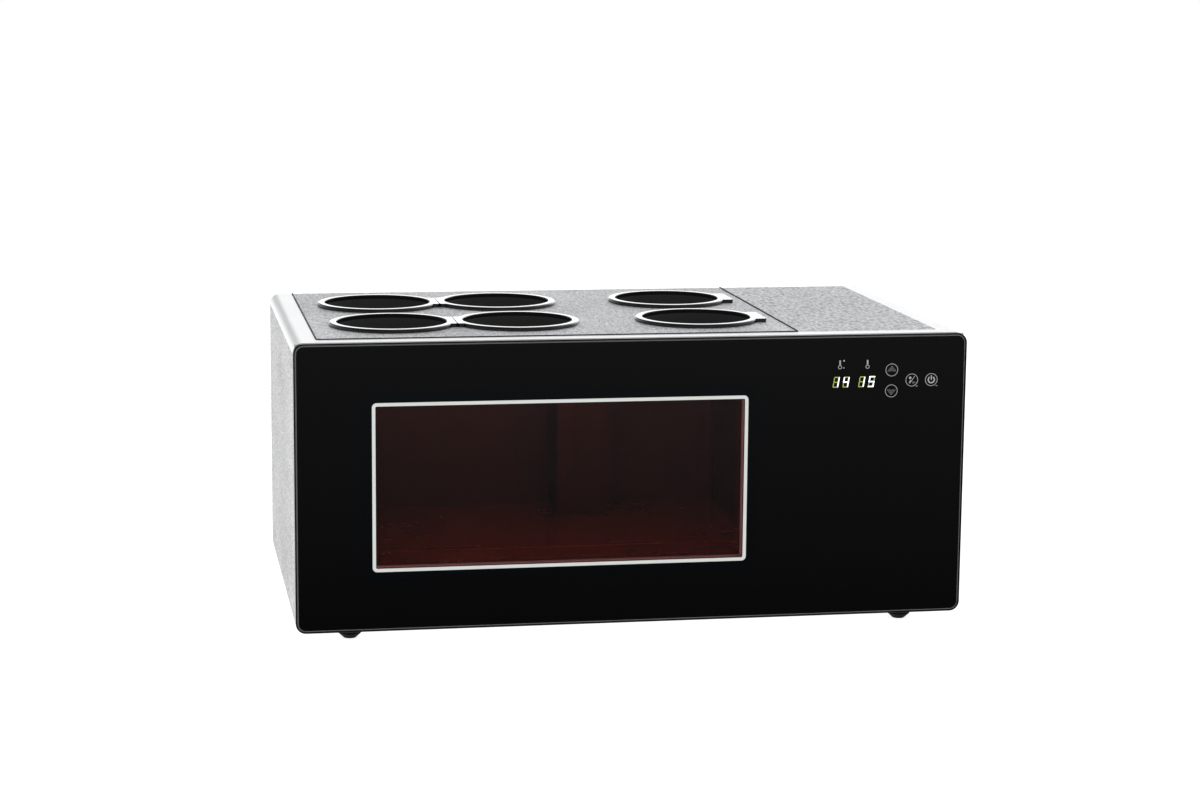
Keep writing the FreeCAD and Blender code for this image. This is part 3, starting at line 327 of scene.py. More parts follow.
# %% Tracks of a circuit board
tree, start, end, per_metre = new_pattern("circuit_tracks")
lands = add_node(tree, "TexVoronoi", {"Vector": start["Vector"], "Scale": per_metre},
                 distance="MANHATTAN", feature="DISTANCE_TO_EDGE")
tracks = ramp(tree, lands.outputs["Distance"], 0.05, 0.09)
haze = noise(tree, start["Vector"], 60.0, 2.0)
tone = weigh(tree, tracks, 0.7, haze, 0.3)
close_pattern(tree, end, tone, tracks, start["Contrast"])

# %% [markdown]
# Use leaves its own marks on any finish. Fingers leave smudges, which change the gloss and not the
# colour. Dust settles on faces that look up. Paint rubs thin along edges: the Bevel node turns the
# normal near an edge, and where it departs from the true normal there is an edge. Noise breaks the
# rubbed line up, except where `Even` is 1: there the whole edge is lighter, which is a painted
# highlight of light catching the edge, not wear.

# %% Smudges, dust, worn edges and painted edge highlights
tree, start, end = new_group("smudges", {"Vector": None, "Amount": 0.3}, ("Value",))
broad = noise(tree, start["Vector"], 9.0, 3.0, 0.55, 0.6)
close = noise(tree, start["Vector"], 55.0, 4.0, 0.6, 0.2)
mixed = weigh(tree, broad, 0.6, close, 0.4)
swing = maths(tree, "MULTIPLY", maths(tree, "SUBTRACT", mixed, 0.5), start["Amount"])
give(tree, maths(tree, "ADD", swing, 1.0), end["Value"])
smudges = tree

tree, start, end = new_group("settled_dust", {"Vector": None, "Amount": 0.3}, ("Mask",))
facing = add_node(tree, "SeparateXYZ", {0: add_node(tree, "TexCoord").outputs["Normal"]}).outputs["Z"]
upward = ramp(tree, facing, 0.4, 0.95)
specks = ramp(tree, noise(tree, start["Vector"], 700.0, 2.0, 0.7), 0.50, 0.72)
drift = ramp(tree, noise(tree, start["Vector"], 16.0, 3.0), 0.35, 0.70)
cover = maths(tree, "MULTIPLY", maths(tree, "MULTIPLY", specks, drift), upward)
give(tree, maths(tree, "MULTIPLY", cover, start["Amount"]), end["Mask"])
settled_dust = tree

tree, start, end = new_group("worn_and_lit_edges", {"Vector": None, "Width": 0.001, "Amount": 0.5, "Even": 0.0},
                             ("Mask",))
rounded = add_node(tree, "Bevel", {"Radius": start["Width"]}, samples=4).outputs[0]
true_normal = add_node(tree, "NewGeometry").outputs["Normal"]
agreement = add_node(tree, "VectorMath", {0: rounded, 1: true_normal}, operation="DOT_PRODUCT")
edge = ramp(tree, agreement.outputs["Value"], 0.995, 0.80)
broken = ramp(tree, noise(tree, start["Vector"], 120.0, 4.0, 0.65), 0.48, 0.62)
broken = maths(tree, "MAXIMUM", broken, start["Even"])
give(tree, maths(tree, "MULTIPLY", maths(tree, "MULTIPLY", edge, broken), start["Amount"]), end["Mask"])
worn_and_lit_edges = tree
print("shared effects:", smudges.name, settled_dust.name, worn_and_lit_edges.name)

# %% [markdown]
# ## One recipe for most finishes
#
# Paint, plastic, rubber and metal differ in their numbers, not in their build-up: two tones mixed by
# a pattern, gloss that the smudges vary, a bump from the same pattern, and dust and lighter edges on
# top: edge wear on most finishes, and a painted highlight on the cavity's liner and trays.
# So one function makes them, and each finish below is a few numbers with a reason.

# %% The recipe
DUST_COLOUR = (0.42, 0.40, 0.37)
WORN_AND_LIT_EDGE_WIDTH = 0.0012
COAT_ROUGHNESS = 0.05
finishes = {}


def place_group(tree, group, inputs):
    """Outputs of a shared pattern or effect, placed with its inputs."""
    return add_node(tree, "Group", inputs, node_tree=group).outputs


def new_material(slot):
    """Material named after the record's slot, with its node tree and its main shader."""
    material = bpy.data.materials.new(slot)
    material.use_nodes = True
    tree = material.node_tree
    shader = tree.nodes["Principled BSDF"]
    finishes[slot] = material
    return tree, shader


def finish(slot, dark, light, pattern="moulded_grain", size=0.0008, contrast=1.6, stretch=None,
           gloss=(0.45, 0.5), metallic=0.0, relief=0.00004, dust=0.0, edge_wear_and_light=0.0, even=0.0, bare_and_lit_colour=None,
           coat=0.0, specular=0.5):
    """Finish of one material slot. Gloss is the roughness and how much smudges vary it, relief is the
    bump's height in metres, edge_wear_and_light is how much edges show bare_and_lit_colour, and even
    is how unbroken. The lighter edges are worn paint, except where even is 1: there they are a painted
    highlight."""
    tree, shader = new_material(slot)
    place = add_node(tree, "TexCoord").outputs["Object"]
    if stretch:
        pattern_place = add_node(tree, "Mapping", {"Vector": place, "Scale": stretch}).outputs[0]
    else:
        pattern_place = place
    grain = place_group(tree, patterns[pattern], {"Vector": pattern_place, "Size": size,
                                                  "Contrast": contrast})
    colour = blend(tree, grain["Tone"], opaque(dark), opaque(light))
    roughness = maths(tree, "MULTIPLY", gloss[0], place_group(
        tree, smudges, {"Vector": place, "Amount": gloss[1]})["Value"])
    if edge_wear_and_light:
        # lighter edges: wear, and a painted highlight where even is 1
        wear_and_highlight_mask = place_group(tree, worn_and_lit_edges, {"Vector": place, "Width": WORN_AND_LIT_EDGE_WIDTH, "Amount": edge_wear_and_light,
                                                "Even": even})["Mask"]
        colour = blend(tree, wear_and_highlight_mask, colour, opaque(bare_and_lit_colour or light))
    if dust:
        mask = place_group(tree, settled_dust, {"Vector": place, "Amount": dust})["Mask"]
        colour = blend(tree, mask, colour, opaque(DUST_COLOUR))
        roughness = maths(tree, "ADD", roughness, maths(tree, "MULTIPLY", mask, 0.5), clamp=True)
    bump = add_node(tree, "Bump", {"Height": grain["Height"], "Strength": 1.0, "Distance": relief})
    give(tree, colour, shader.inputs["Base Color"])
    give(tree, roughness, shader.inputs["Roughness"])
    give(tree, bump.outputs[0], shader.inputs["Normal"])
    shader.inputs["Metallic"].default_value = metallic
    shader.inputs["Specular IOR Level"].default_value = specular
    shader.inputs["Coat Weight"].default_value = coat
    shader.inputs["Coat Roughness"].default_value = COAT_ROUGHNESS
    return tree, shader


def glow(shader, colour, strength):
    """Gives a shader an even glow of its own."""
    shader.inputs["Emission Color"].default_value = opaque(colour)
    shader.inputs["Emission Strength"].default_value = strength


# %% [markdown]
# ### Painted metal
#
# The wrap, the lid and the fixed plate carry the same silver paint, but the lid's lies flatter and the
# plate's is coarser. A little metallic makes the flecks catch the light. The rear panel is dark grey.

# %% Paints
DEEP_GRAIN = (1.0, 0.45, 1.0)      # the sheet's grain is drawn out from front to back,
SIDE_GRAIN = (1.0, 0.36, 1.0)      # and a little more so on the wrap

finish("wrap_paint", (0.12, 0.12, 0.124), (0.54, 0.54, 0.55), "hammered_paint", 0.0025, 5.8,
       stretch=SIDE_GRAIN, gloss=(0.50, 0.3), metallic=0.10, relief=0.00022, dust=0.06, edge_wear_and_light=0.25,
       bare_and_lit_colour=(0.70, 0.70, 0.70))
finish("lid_paint", (0.150, 0.153, 0.162), (0.62, 0.63, 0.655), "hammered_paint", 0.0025, 5.4,
       stretch=DEEP_GRAIN, gloss=(0.52, 0.3), metallic=0.10, relief=0.00009, dust=0.08, edge_wear_and_light=0.25,
       bare_and_lit_colour=(0.62, 0.62, 0.62))
finish("top_paint", (0.150, 0.152, 0.160), (0.65, 0.655, 0.68), "pebbled_paint", 0.0032, 3.3,
       stretch=DEEP_GRAIN, gloss=(0.52, 0.3), metallic=0.10, relief=0.00016, dust=0.08, edge_wear_and_light=0.20,
       bare_and_lit_colour=(0.66, 0.66, 0.66))
finish("rear_metal", (0.030, 0.030, 0.032), (0.065, 0.065, 0.068), "hammered_paint", 0.0009, 2.0,
       gloss=(0.45, 0.4), relief=0.00008, dust=0.10, edge_wear_and_light=0.35, bare_and_lit_colour=(0.25, 0.25, 0.26))
print("paints:", list(finishes))

# %% [markdown]
# ### Bare metal
#
# Brushed parts differ in how deep their scratches are and which way they run. The spacer between the
# window's panes is painted lighter and redder than bare metal and also glows a little. Both are painted
# light and stand for the red light of the cavity, which reaches it through the inner pane: the
# renderer's shadow rays don't find a lamp behind glass.

# %% Bare and plated metals
finish("zinc", (0.40, 0.41, 0.43), (0.66, 0.67, 0.69), "zinc_spangle", 0.009, 1.4,
       gloss=(0.38, 0.5), metallic=0.9, relief=0.00002, dust=0.10, edge_wear_and_light=0.3)
finish("trim_metal", (0.66, 0.69, 0.66), (0.80, 0.83, 0.80), "brushed_metal", 0.0009, 1.3,
       stretch=(0.1, 1.0, 1.0), gloss=(0.42, 0.3), metallic=0.10, relief=0.00001, edge_wear_and_light=0.2)
# painted light: the spacer's light reddish colour and its glow stand for the cavity's red light
tree, shader = finish("spacer_metal", (0.42, 0.36, 0.34), (0.60, 0.53, 0.50), "brushed_metal", 0.0006,
                      1.6, stretch=(1.0, 0.2, 1.0), gloss=(0.42, 0.4), metallic=0.4, relief=0.00002)
glow(shader, (1.0, 0.36, 0.36), 0.06)
finish("sink_metal", (0.55, 0.56, 0.57), (0.80, 0.81, 0.82), "brushed_metal", 0.0007, 1.6,
       stretch=(1.0, 1.0, 0.06), gloss=(0.34, 0.4), metallic=0.95, relief=0.00003, dust=0.15, edge_wear_and_light=0.3)
finish("supply_metal", (0.48, 0.49, 0.50), (0.72, 0.73, 0.74), "brushed_metal", 0.0006, 1.6,
       stretch=(1.0, 0.06, 1.0), gloss=(0.33, 0.4), metallic=0.95, relief=0.00002, dust=0.15, edge_wear_and_light=0.3)
finish("screw_steel", (0.50, 0.50, 0.51), (0.74, 0.74, 0.75), "brushed_metal", 0.0004, 1.6,
       gloss=(0.24, 0.5), metallic=1.0, relief=0.00001, edge_wear_and_light=0.3)
finish("pin_steel", (0.56, 0.56, 0.57), (0.76, 0.76, 0.77), "brushed_metal", 0.0004, 1.4,
       stretch=(1.0, 0.1, 1.0), gloss=(0.22, 0.4), metallic=1.0, relief=0.000005)
finish("spring_steel", (0.36, 0.36, 0.37), (0.62, 0.62, 0.63), "brushed_metal", 0.0005, 1.6,
       gloss=(0.30, 0.5), metallic=1.0, relief=0.000005)
print("finishes so far:", len(finishes))

# %% [markdown]
# ### Plastic, rubber and foam
#
# Moulded parts have a fine spark-eroded grain. The smooth frame round the top is almost white and
# satin, the collars are polished, and everything inside the cavity is nearly black with a wine-red
# cast, so that the bottles stand out. The edges of its liner and trays are lighter and reddish, a
# painted highlight of the amber light catching them.

# %% Plastics
finish("frame_white", (0.62, 0.63, 0.64), (0.71, 0.72, 0.73), size=0.0012, contrast=1.2,
       gloss=(0.34, 0.3), relief=0.00001, dust=0.08, edge_wear_and_light=0.10, bare_and_lit_colour=(0.86, 0.86, 0.86))
finish("bezel_black", (0.002, 0.002, 0.0024), (0.004, 0.004, 0.0044), size=0.0010, contrast=1.4,
       gloss=(0.34, 0.4), relief=0.000004, dust=0.02, specular=0.07)
finish("flap_black", (0.026, 0.026, 0.027), (0.040, 0.040, 0.042), contrast=1.5,
       gloss=(0.40, 0.4), relief=0.00003, dust=0.10, edge_wear_and_light=0.10)

# %% [markdown]
# A collar is one moulding with two finishes: its ring stands above the lid and is polished, and the
# tube below the lid's level is left matt. Height tells them apart, so a mask made from the Z coordinate
# swaps both the colour and the roughness.

# %% Collar
TUBE_BLACK, TUBE_ROUGHER = (0.034, 0.034, 0.036), 0.45

tree, shader = finish("collar_black", (0.006, 0.006, 0.0063), (0.011, 0.011, 0.0115), size=0.0010,
                      contrast=1.4, gloss=(0.09, 0.6), relief=0.000004, dust=0.05, coat=0.3)
lid_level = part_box("lid_plate")[1].z
height = add_node(tree, "SeparateXYZ", {0: add_node(tree, "TexCoord").outputs["Object"]}).outputs["Z"]
in_tube = ramp(tree, height, lid_level + 0.0004, lid_level - 0.0008)
polished, gloss_level = (shader.inputs[name].links[0].from_socket for name in ("Base Color", "Roughness"))
give(tree, blend(tree, in_tube, polished, opaque(TUBE_BLACK)), shader.inputs["Base Color"])
matt = maths(tree, "ADD", gloss_level, maths(tree, "MULTIPLY", in_tube, TUBE_ROUGHER))
give(tree, matt, shader.inputs["Roughness"])
print("matt below, mm:", round(lid_level * 1000, 1))

# %% Plastics inside the cabinet
# painted highlight: the liner's and the trays' lighter reddish edges stand for the amber light catching
# them
finish("liner_black", (0.020, 0.006, 0.013), (0.032, 0.010, 0.021), size=0.0011,
       gloss=(0.36, 0.4), relief=0.00001, edge_wear_and_light=0.25, even=1.0, bare_and_lit_colour=(0.24, 0.10, 0.09), specular=0.25)
finish("tray_black", (0.050, 0.012, 0.024), (0.078, 0.019, 0.038), size=0.0011,
       gloss=(0.26, 0.5), relief=0.00001, edge_wear_and_light=0.8, even=1.0, bare_and_lit_colour=(0.55, 0.24, 0.20), specular=0.35)
finish("lid_lining", (0.020, 0.017, 0.018), (0.036, 0.030, 0.032), size=0.0010,
       gloss=(0.40, 0.4), relief=0.00004)
finish("fan_black", (0.010, 0.010, 0.011), (0.024, 0.024, 0.026), size=0.0009,
       gloss=(0.38, 0.4), relief=0.00004, dust=0.25)
finish("probe_white", (0.60, 0.60, 0.57), (0.72, 0.72, 0.69), gloss=(0.36, 0.4), relief=0.00002,
       dust=0.10)
finish("lamp_board", (0.66, 0.64, 0.58), (0.80, 0.78, 0.70), "circuit_tracks", 0.006, 0.8,
       gloss=(0.38, 0.4), relief=0.00003)
finish("module_ceramic", (0.68, 0.68, 0.66), (0.82, 0.82, 0.80), size=0.0005, gloss=(0.55, 0.3),
       relief=0.00002)
finish("board_green", (0.008, 0.070, 0.028), (0.016, 0.150, 0.055), "circuit_tracks", 0.007, 1.2,
       gloss=(0.30, 0.4), relief=0.00004, dust=0.20)
finish("inlet_black", (0.010, 0.010, 0.010), (0.022, 0.022, 0.022), gloss=(0.28, 0.5),
       relief=0.00003, dust=0.08)
finish("key_film", (0.26, 0.26, 0.27), (0.34, 0.34, 0.35), size=0.0006, gloss=(0.45, 0.3),
       relief=0.00001)
finish("foot_rubber", (0.002, 0.002, 0.002), (0.005, 0.005, 0.005), size=0.0010, gloss=(0.75, 0.3),
       relief=0.00006, dust=0.05, edge_wear_and_light=0.3, bare_and_lit_colour=(0.02, 0.02, 0.02), specular=0.1)
finish("gasket_rubber", (0.012, 0.012, 0.012), (0.026, 0.026, 0.026), size=0.0012, gloss=(0.70, 0.3),
       relief=0.00005, dust=0.10)
finish("foam", (0.62, 0.56, 0.38), (0.84, 0.79, 0.60), "foam_pores", 0.0016, 1.4, gloss=(0.85, 0.1),
       relief=0.00030)
print("finishes so far:", len(finishes))

# %% [markdown]
# ### Glass
#
# The front is one black-backed sheet: the colour lies behind the glass, so the shader is a dark base
# under a polished surface. Round the window the backing has a second, bluish coat, which shows as a
# faint rectangle. The sheet's bevelled border is rough from grinding and grey, and its grey is also a
# painted highlight, as bright as the light that the bevel catches: there the normal turns away from
# the front, which makes the mask. The window's two panes are clear and only a trace smoky.

# %% Black-backed front glass
COAT_MARGIN, COAT_BLUR = 0.010, 0.0004
COAT_BLUE = (0.0008, 0.0013, 0.0019)
POLISH = 0.035           # roughness of the clean sheet
GROUND_AND_HIGHLIGHT_GREY, GROUND_ROUGHER = (0.20, 0.20, 0.20), 0.40

trim_low, trim_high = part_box("window_trim")
tree, shader = new_material("front_glass")
place = add_node(tree, "TexCoord").outputs["Object"]
across = add_node(tree, "SeparateXYZ", {0: place})
inside = 1.0
for axis, index in (("X", 0), ("Z", 2)):
    middle = (trim_low[index] + trim_high[index]) / 2
    half = (trim_high[index] - trim_low[index]) / 2 + COAT_MARGIN
    off_middle = maths(tree, "ABSOLUTE", maths(tree, "SUBTRACT", across.outputs[axis], middle))
    within = ramp(tree, off_middle, half + COAT_BLUR, half - COAT_BLUR)
    inside = maths(tree, "MULTIPLY", within, inside)
grain = place_group(tree, patterns["moulded_grain"], {"Vector": place, "Size": 0.002, "Contrast": 1.2})
backing = blend(tree, grain["Tone"], opaque((0.0011, 0.0011, 0.0013)), opaque((0.0018, 0.0018, 0.0020)))
backing = blend(tree, inside, backing, opaque(COAT_BLUE))
turned = add_node(tree, "SeparateXYZ", {0: add_node(tree, "TexCoord").outputs["Normal"]}).outputs["Y"]
bevel_mask = ramp(tree, turned, -0.95, -0.85)
# painted highlight: the bevel's grey is partly the light that it catches
backing = blend(tree, bevel_mask, backing, opaque(GROUND_AND_HIGHLIGHT_GREY))
dust = place_group(tree, settled_dust, {"Vector": place, "Amount": 0.05})["Mask"]
give(tree, blend(tree, dust, backing, opaque(DUST_COLOUR)), shader.inputs["Base Color"])
film = place_group(tree, smudges, {"Vector": place, "Amount": 0.8})["Value"]
give(tree, weigh(tree, film, POLISH, bevel_mask, GROUND_ROUGHER), shader.inputs["Roughness"])
shader.inputs["IOR"].default_value = 1.5
print("second coat, mm:", [round((trim_high[i] - trim_low[i] + 2 * COAT_MARGIN) * 1000) for i in (0, 2)])

# %% Clear panes
PANE_ROUGHNESS = 0.008

tree, shader = new_material("window_glass")
place = add_node(tree, "TexCoord").outputs["Object"]
haze = place_group(tree, smudges, {"Vector": place, "Amount": 1.0})["Value"]
tint = blend(tree, ramp(tree, haze, 0.8, 1.2), opaque((0.70, 0.68, 0.68)), opaque((0.76, 0.74, 0.74)))
give(tree, tint, shader.inputs["Base Color"])
give(tree, maths(tree, "MULTIPLY", haze, PANE_ROUGHNESS), shader.inputs["Roughness"])
shader.inputs["Transmission Weight"].default_value = 1.0
shader.inputs["IOR"].default_value = 1.45
print("glass materials:", finishes["front_glass"].name, finishes["window_glass"].name)

# %% [markdown]
# ### Light that the cooler gives itself
#
# A row of amber diodes shines through a translucent trough above the window, and the digits of the
# two displays glow. Both are emission: a colour that varies a little, at a constant strength. The
# bars that are switched off glow faintly too, which is painted light. The
# displays' dark fields and the grey print of the keys only reflect.


# %% Glowing finishes and print
def glowing(slot, dark, light, strength, base, size=0.004):
    """Finish that gives light: its glow goes from dark to light with a soft pattern."""
    tree, shader = new_material(slot)
    place = add_node(tree, "TexCoord").outputs["Object"]
    grain = place_group(tree, patterns["moulded_grain"], {"Vector": place, "Size": size, "Contrast": 1.5})
    give(tree, blend(tree, grain["Tone"], opaque(dark), opaque(light)), shader.inputs["Emission Color"])
    shade = [0.85 * value for value in base]
    give(tree, blend(tree, grain["Tone"], opaque(shade), opaque(base)), shader.inputs["Base Color"])
    shader.inputs["Emission Strength"].default_value = strength
    shader.inputs["Roughness"].default_value = 0.4


glowing("diffuser", (1.0, 0.22, 0.07), (1.0, 0.32, 0.12), 34.0, (0.80, 0.45, 0.18))
glowing("lit_digit", (0.80, 0.88, 1.0), (0.95, 0.98, 1.0), 1.25, (0.6, 0.65, 0.7), 0.0008)
# painted light: the switched-off bars get a faint glow of their own
glowing("idle_digit", (0.40, 0.46, 0.07), (0.52, 0.58, 0.11), 0.55, (0.20, 0.22, 0.05), 0.0008)
finish("display_lit", (0.008, 0.009, 0.010), (0.016, 0.017, 0.019), gloss=(0.30, 0.3), relief=0.00001)
finish("printed_grey", (0.30, 0.31, 0.32), (0.42, 0.43, 0.44), size=0.0004, contrast=1.5,
       gloss=(0.50, 0.3), relief=0.000003)
finish("printed_faint", (0.16, 0.165, 0.17), (0.24, 0.245, 0.25), size=0.0004, contrast=1.5,
       gloss=(0.50, 0.3), relief=0.000003)
print("finishes in all:", len(finishes))

# %% Dress the solids
undressed = []
for row in record["subparts"]:
    solid = frame["nodes"][row["node"]]
    chosen = finishes.get(row["material_slot"])
    if chosen is None:
        undressed.append(row["node"])
        continue
    if solid.material_slots:
        solid.material_slots[0].material = chosen
    else:
        solid.data.materials.append(chosen)
print("dressed:", len(record["subparts"]) - len(undressed), " left bare:", undressed)

# %% [markdown]
# The floor's paper has to be as white as the world behind it, or its far rim would show. It gives back
# half the light that falls on it, so that the cooler still casts a soft shadow, and a glow of its own
# lifts it to white.

# %% Floor paper
PAPER_GLOW = 0.88

tree, shader = new_material("studio_paper")
place = add_node(tree, "TexCoord").outputs["Object"]
paper = noise(tree, place, 600.0, 2.0)
give(tree, blend(tree, paper, opaque((0.48, 0.48, 0.48)), opaque((0.52, 0.52, 0.52))),
     shader.inputs["Base Color"])
shader.inputs["Roughness"].default_value = 0.9
shader.inputs["Specular IOR Level"].default_value = 0.0
glow(shader, (1.0, 1.0, 1.0), PAPER_GLOW)
floor.data.materials.append(finishes["studio_paper"])

# %% [markdown]
# ## Marks on the front glass
#
# Digits and key marks are printed or shine through the glass. A texture could show them, but thin
# solids are crisper and stay sharp. They lie on the glass, in the shallow space
# inside the bezel's rim, and each is modelled flat and then given its thickness.

# %% Helpers for flat marks
GLASS_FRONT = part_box("front_glass")[0].y
MARK_THICKNESS = 0.00010


def deselect_all():
    """Leaves edit mode and selects nothing."""
    if bpy.context.object and bpy.context.object.mode != "OBJECT":
        bpy.ops.object.mode_set(mode="OBJECT")
    bpy.ops.object.select_all(action="DESELECT")


def start_flat(name, shape, x, z):
    """Flat face on the glass, in edit mode: shape is ("disc", radius, sides) or ("bar", length, width)."""
    deselect_all()
    upright = {"location": (x, GLASS_FRONT, z), "rotation": (math.pi / 2, 0, 0)}
    if shape[0] == "disc":
        bpy.ops.mesh.primitive_circle_add(vertices=shape[2], radius=shape[1], fill_type="NGON", **upright)
    else:
        bpy.ops.mesh.primitive_plane_add(size=1.0, **upright)
        bpy.context.object.scale = (shape[1], shape[2], 1.0)
    piece = bpy.context.object
    piece.name = name
    bpy.ops.object.transform_apply(location=False, rotation=False, scale=True)
    bpy.ops.object.mode_set(mode="EDIT")
    bpy.ops.mesh.select_all(action="SELECT")
    return piece


def thicken(piece):
    """Gives the flat face its thickness, towards the reader, and closes it."""
    bpy.ops.mesh.select_all(action="SELECT")
    bpy.ops.mesh.extrude_region_move(TRANSFORM_OT_translate={"value": (0, -MARK_THICKNESS, 0)})
    bpy.ops.mesh.select_all(action="SELECT")
    bpy.ops.mesh.normals_make_consistent(inside=False)
    bpy.ops.object.mode_set(mode="OBJECT")
    return piece


def bar(name, x, z, length, width, turn=0.0):
    """Bar of one stroke, its ends bevelled, turned in the plane of the glass."""
    piece = start_flat(name, ("bar", length, width), x, z)
    bpy.ops.mesh.bevel(offset=width * 0.42, affect="VERTICES", segments=2)
    thicken(piece)
    piece.rotation_euler.y = turn
    return piece


def ring(name, x, z, radius, line, sides=48):
    """Flat ring: a disc with an inset, whose middle is taken out."""
    piece = start_flat(name, ("disc", radius, sides), x, z)
    bpy.ops.mesh.inset(thickness=line)
    bpy.ops.mesh.delete(type="FACE")
    return thicken(piece)


def join_all(name, pieces):
    """Several flat marks as one piece, whose place is in its mesh."""
    deselect_all()
    for piece in pieces:
        piece.select_set(True)
    bpy.context.view_layer.objects.active = pieces[0]
    if len(pieces) > 1:
        bpy.ops.object.join()
    bpy.ops.object.transform_apply(location=True, rotation=True, scale=True)
    whole = bpy.context.object
    whole.name = name
    return whole


def settle(piece, material, body="cabinet"):
    """Gives a finished piece its material and the body that it moves with."""
    piece.data.materials.clear()
    piece.data.materials.append(finishes[material])
    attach(piece, body)
    print("%-22s faces %5d" % (piece.name, len(piece.data.polygons)))


# %% [markdown]
# Each digit has seven bars. Those that are switched on shine white, and the others show as faint
# greenish ghosts, painted light: they are switched off, yet they glow a little. The digits lean to the
# right, which a shear of the finished mesh gives.

# %% Digits of the two displays
DIGIT_HEIGHT, DIGIT_WIDTH, DIGIT_PITCH = 0.0110, 0.0059, 0.0101
LIT_STROKE, IDLE_STROKE = 0.0012, 0.0009
DIGIT_LEAN = 0.16
UPRIGHT_CUT, LEVEL_REACH = 0.0006, 0.0003      # upright bars are shorter than their room, level ones longer
BARS_ON = {"1": "bc", "4": "bcfg", "5": "acdfg"}


def bar_places(x, z):
    """Name, place, length and turn of a digit's seven bars."""
    side, level = DIGIT_WIDTH / 2 - LIT_STROKE / 2, DIGIT_HEIGHT / 2 - LIT_STROKE / 2
    tall, wide = level - UPRIGHT_CUT, 2 * side + LEVEL_REACH
    upright = math.pi / 2
    return (("a", x, z + level, wide, 0.0), ("g", x, z, wide, 0.0), ("d", x, z - level, wide, 0.0),
            ("f", x - side, z + level / 2, tall, upright), ("b", x + side, z + level / 2, tall, upright),
            ("e", x - side, z - level / 2, tall, upright), ("c", x + side, z - level / 2, tall, upright))


def display_digits(name, node, figures):
    """Two digits in the middle of a display: their lit bars are one piece and the others are another."""
    low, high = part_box(node)
    x_mid, z_mid = (low.x + high.x) / 2, (low.z + high.z) / 2
    kinds = {"lit": [], "idle": []}
    for place, figure in zip((-0.5, 0.5), figures):
        for letter, x, z, length, turn in bar_places(x_mid + place * DIGIT_PITCH, z_mid):
            on = letter in BARS_ON[figure]
            stroke = LIT_STROKE if on else IDLE_STROKE
            made = bar("bar", x, z, length + (stroke if on else 0.0), stroke, turn)
            kinds["lit" if on else "idle"].append(made)
    lean = Matrix(((1, 0, DIGIT_LEAN, -DIGIT_LEAN * z_mid), (0, 1, 0, 0), (0, 0, 1, 0), (0, 0, 0, 1)))
    for kind, bars in kinds.items():
        whole = join_all(name + "_" + kind, bars)
        whole.data.transform(lean)
        settle(whole, kind + "_digit")


display_digits("digits_left", "display_left", "14")
display_digits("digits_right", "display_right", "15")

# %% [markdown]
# Above each display a small thermometer says what the number is: a bulb, drawn as a ring, and a stem.
# The left one has two dots beside it.

# %% Thermometer marks
MARK_RISE = 0.0176       # above the display's middle
BULB_RADIUS, BULB_LINE = 0.0020, 0.0006
STEM_LENGTH, STEM_WIDTH = 0.0052, 0.0016

for name, node, shift, dots in (("thermometer_left", "display_left", -0.0014, True),
                                ("thermometer_right", "display_right", 0.0006, False)):
    low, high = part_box(node)
    x, z = (low.x + high.x) / 2 + shift, (low.z + high.z) / 2 + MARK_RISE
    marks = [ring("bulb", x, z - 0.0026, BULB_RADIUS, BULB_LINE, 24),
             bar("stem", x, z + 0.0018, STEM_LENGTH, STEM_WIDTH, math.pi / 2)]
    if dots:
        marks.append(thicken(start_flat("dot", ("disc", 0.0009, 10), x + 0.0040, z + 0.0038)))
        marks.append(thicken(start_flat("dot", ("disc", 0.0006, 10), x + 0.0039, z - 0.0034)))
    settle(join_all(name, marks), "printed_grey")

# %% [markdown]
# The four keys are printed rings with a sign inside: up, down, light and power. The signs are built
# from the same bars and rings. The arrows are three chevrons, one inside the other.

# %% Key marks
KEY_RADIUS, KEY_LINE = 0.0064, 0.00055
PAD_RADIUS, PAD_PITCH = 0.0070, 0.0202
CHEVRON_HALF, CHEVRON_STEP, CHEVRON_LINE = 0.0044, 0.0014, 0.0006
pads_low, pads_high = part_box("touch_pads")
KEY_X = pads_low.x + PAD_RADIUS
KEY_TOP, KEY_BOTTOM = pads_high.z - PAD_RADIUS, pads_low.z + PAD_RADIUS
KEY_MIDDLE = (KEY_TOP + KEY_BOTTOM) / 2
POWER_X = pads_high.x - PAD_RADIUS
LIGHT_X = POWER_X - PAD_PITCH


def chevron(x, z, half_width, rise, line):
    """Bar bent at its middle, like a roof."""
    piece = start_flat("chevron", ("bar", 2 * half_width, line), x, z)
    bpy.ops.mesh.subdivide(number_cuts=1)
    bpy.ops.mesh.select_all(action="DESELECT")
    bpy.ops.object.mode_set(mode="OBJECT")
    for vertex in piece.data.vertices:
        vertex.select = abs(vertex.co.x) < half_width / 4
    bpy.ops.object.mode_set(mode="EDIT")
    bpy.ops.transform.translate(value=(0, 0, rise))
    return thicken(piece)


def arrow_marks(z, way):
    """Three nested chevrons, pointing up where way is 1 and down where it is -1."""
    marks = []
    for step in range(3):
        half_width = CHEVRON_HALF - CHEVRON_STEP * step
        marks.append(chevron(KEY_X, z + way * (-0.0014 - 0.0001 * step), half_width,
                             way * half_width * 1.2, CHEVRON_LINE))
    return marks


for name, z in (("key_up_ring", KEY_TOP), ("key_down_ring", KEY_BOTTOM)):
    settle(join_all(name, [ring("ring", KEY_X, z, KEY_RADIUS, KEY_LINE)]), "printed_grey")
for name, z, way in (("key_up_sign", KEY_TOP, 1), ("key_down_sign", KEY_BOTTOM, -1)):
    settle(join_all(name, arrow_marks(z, way)), "printed_faint")

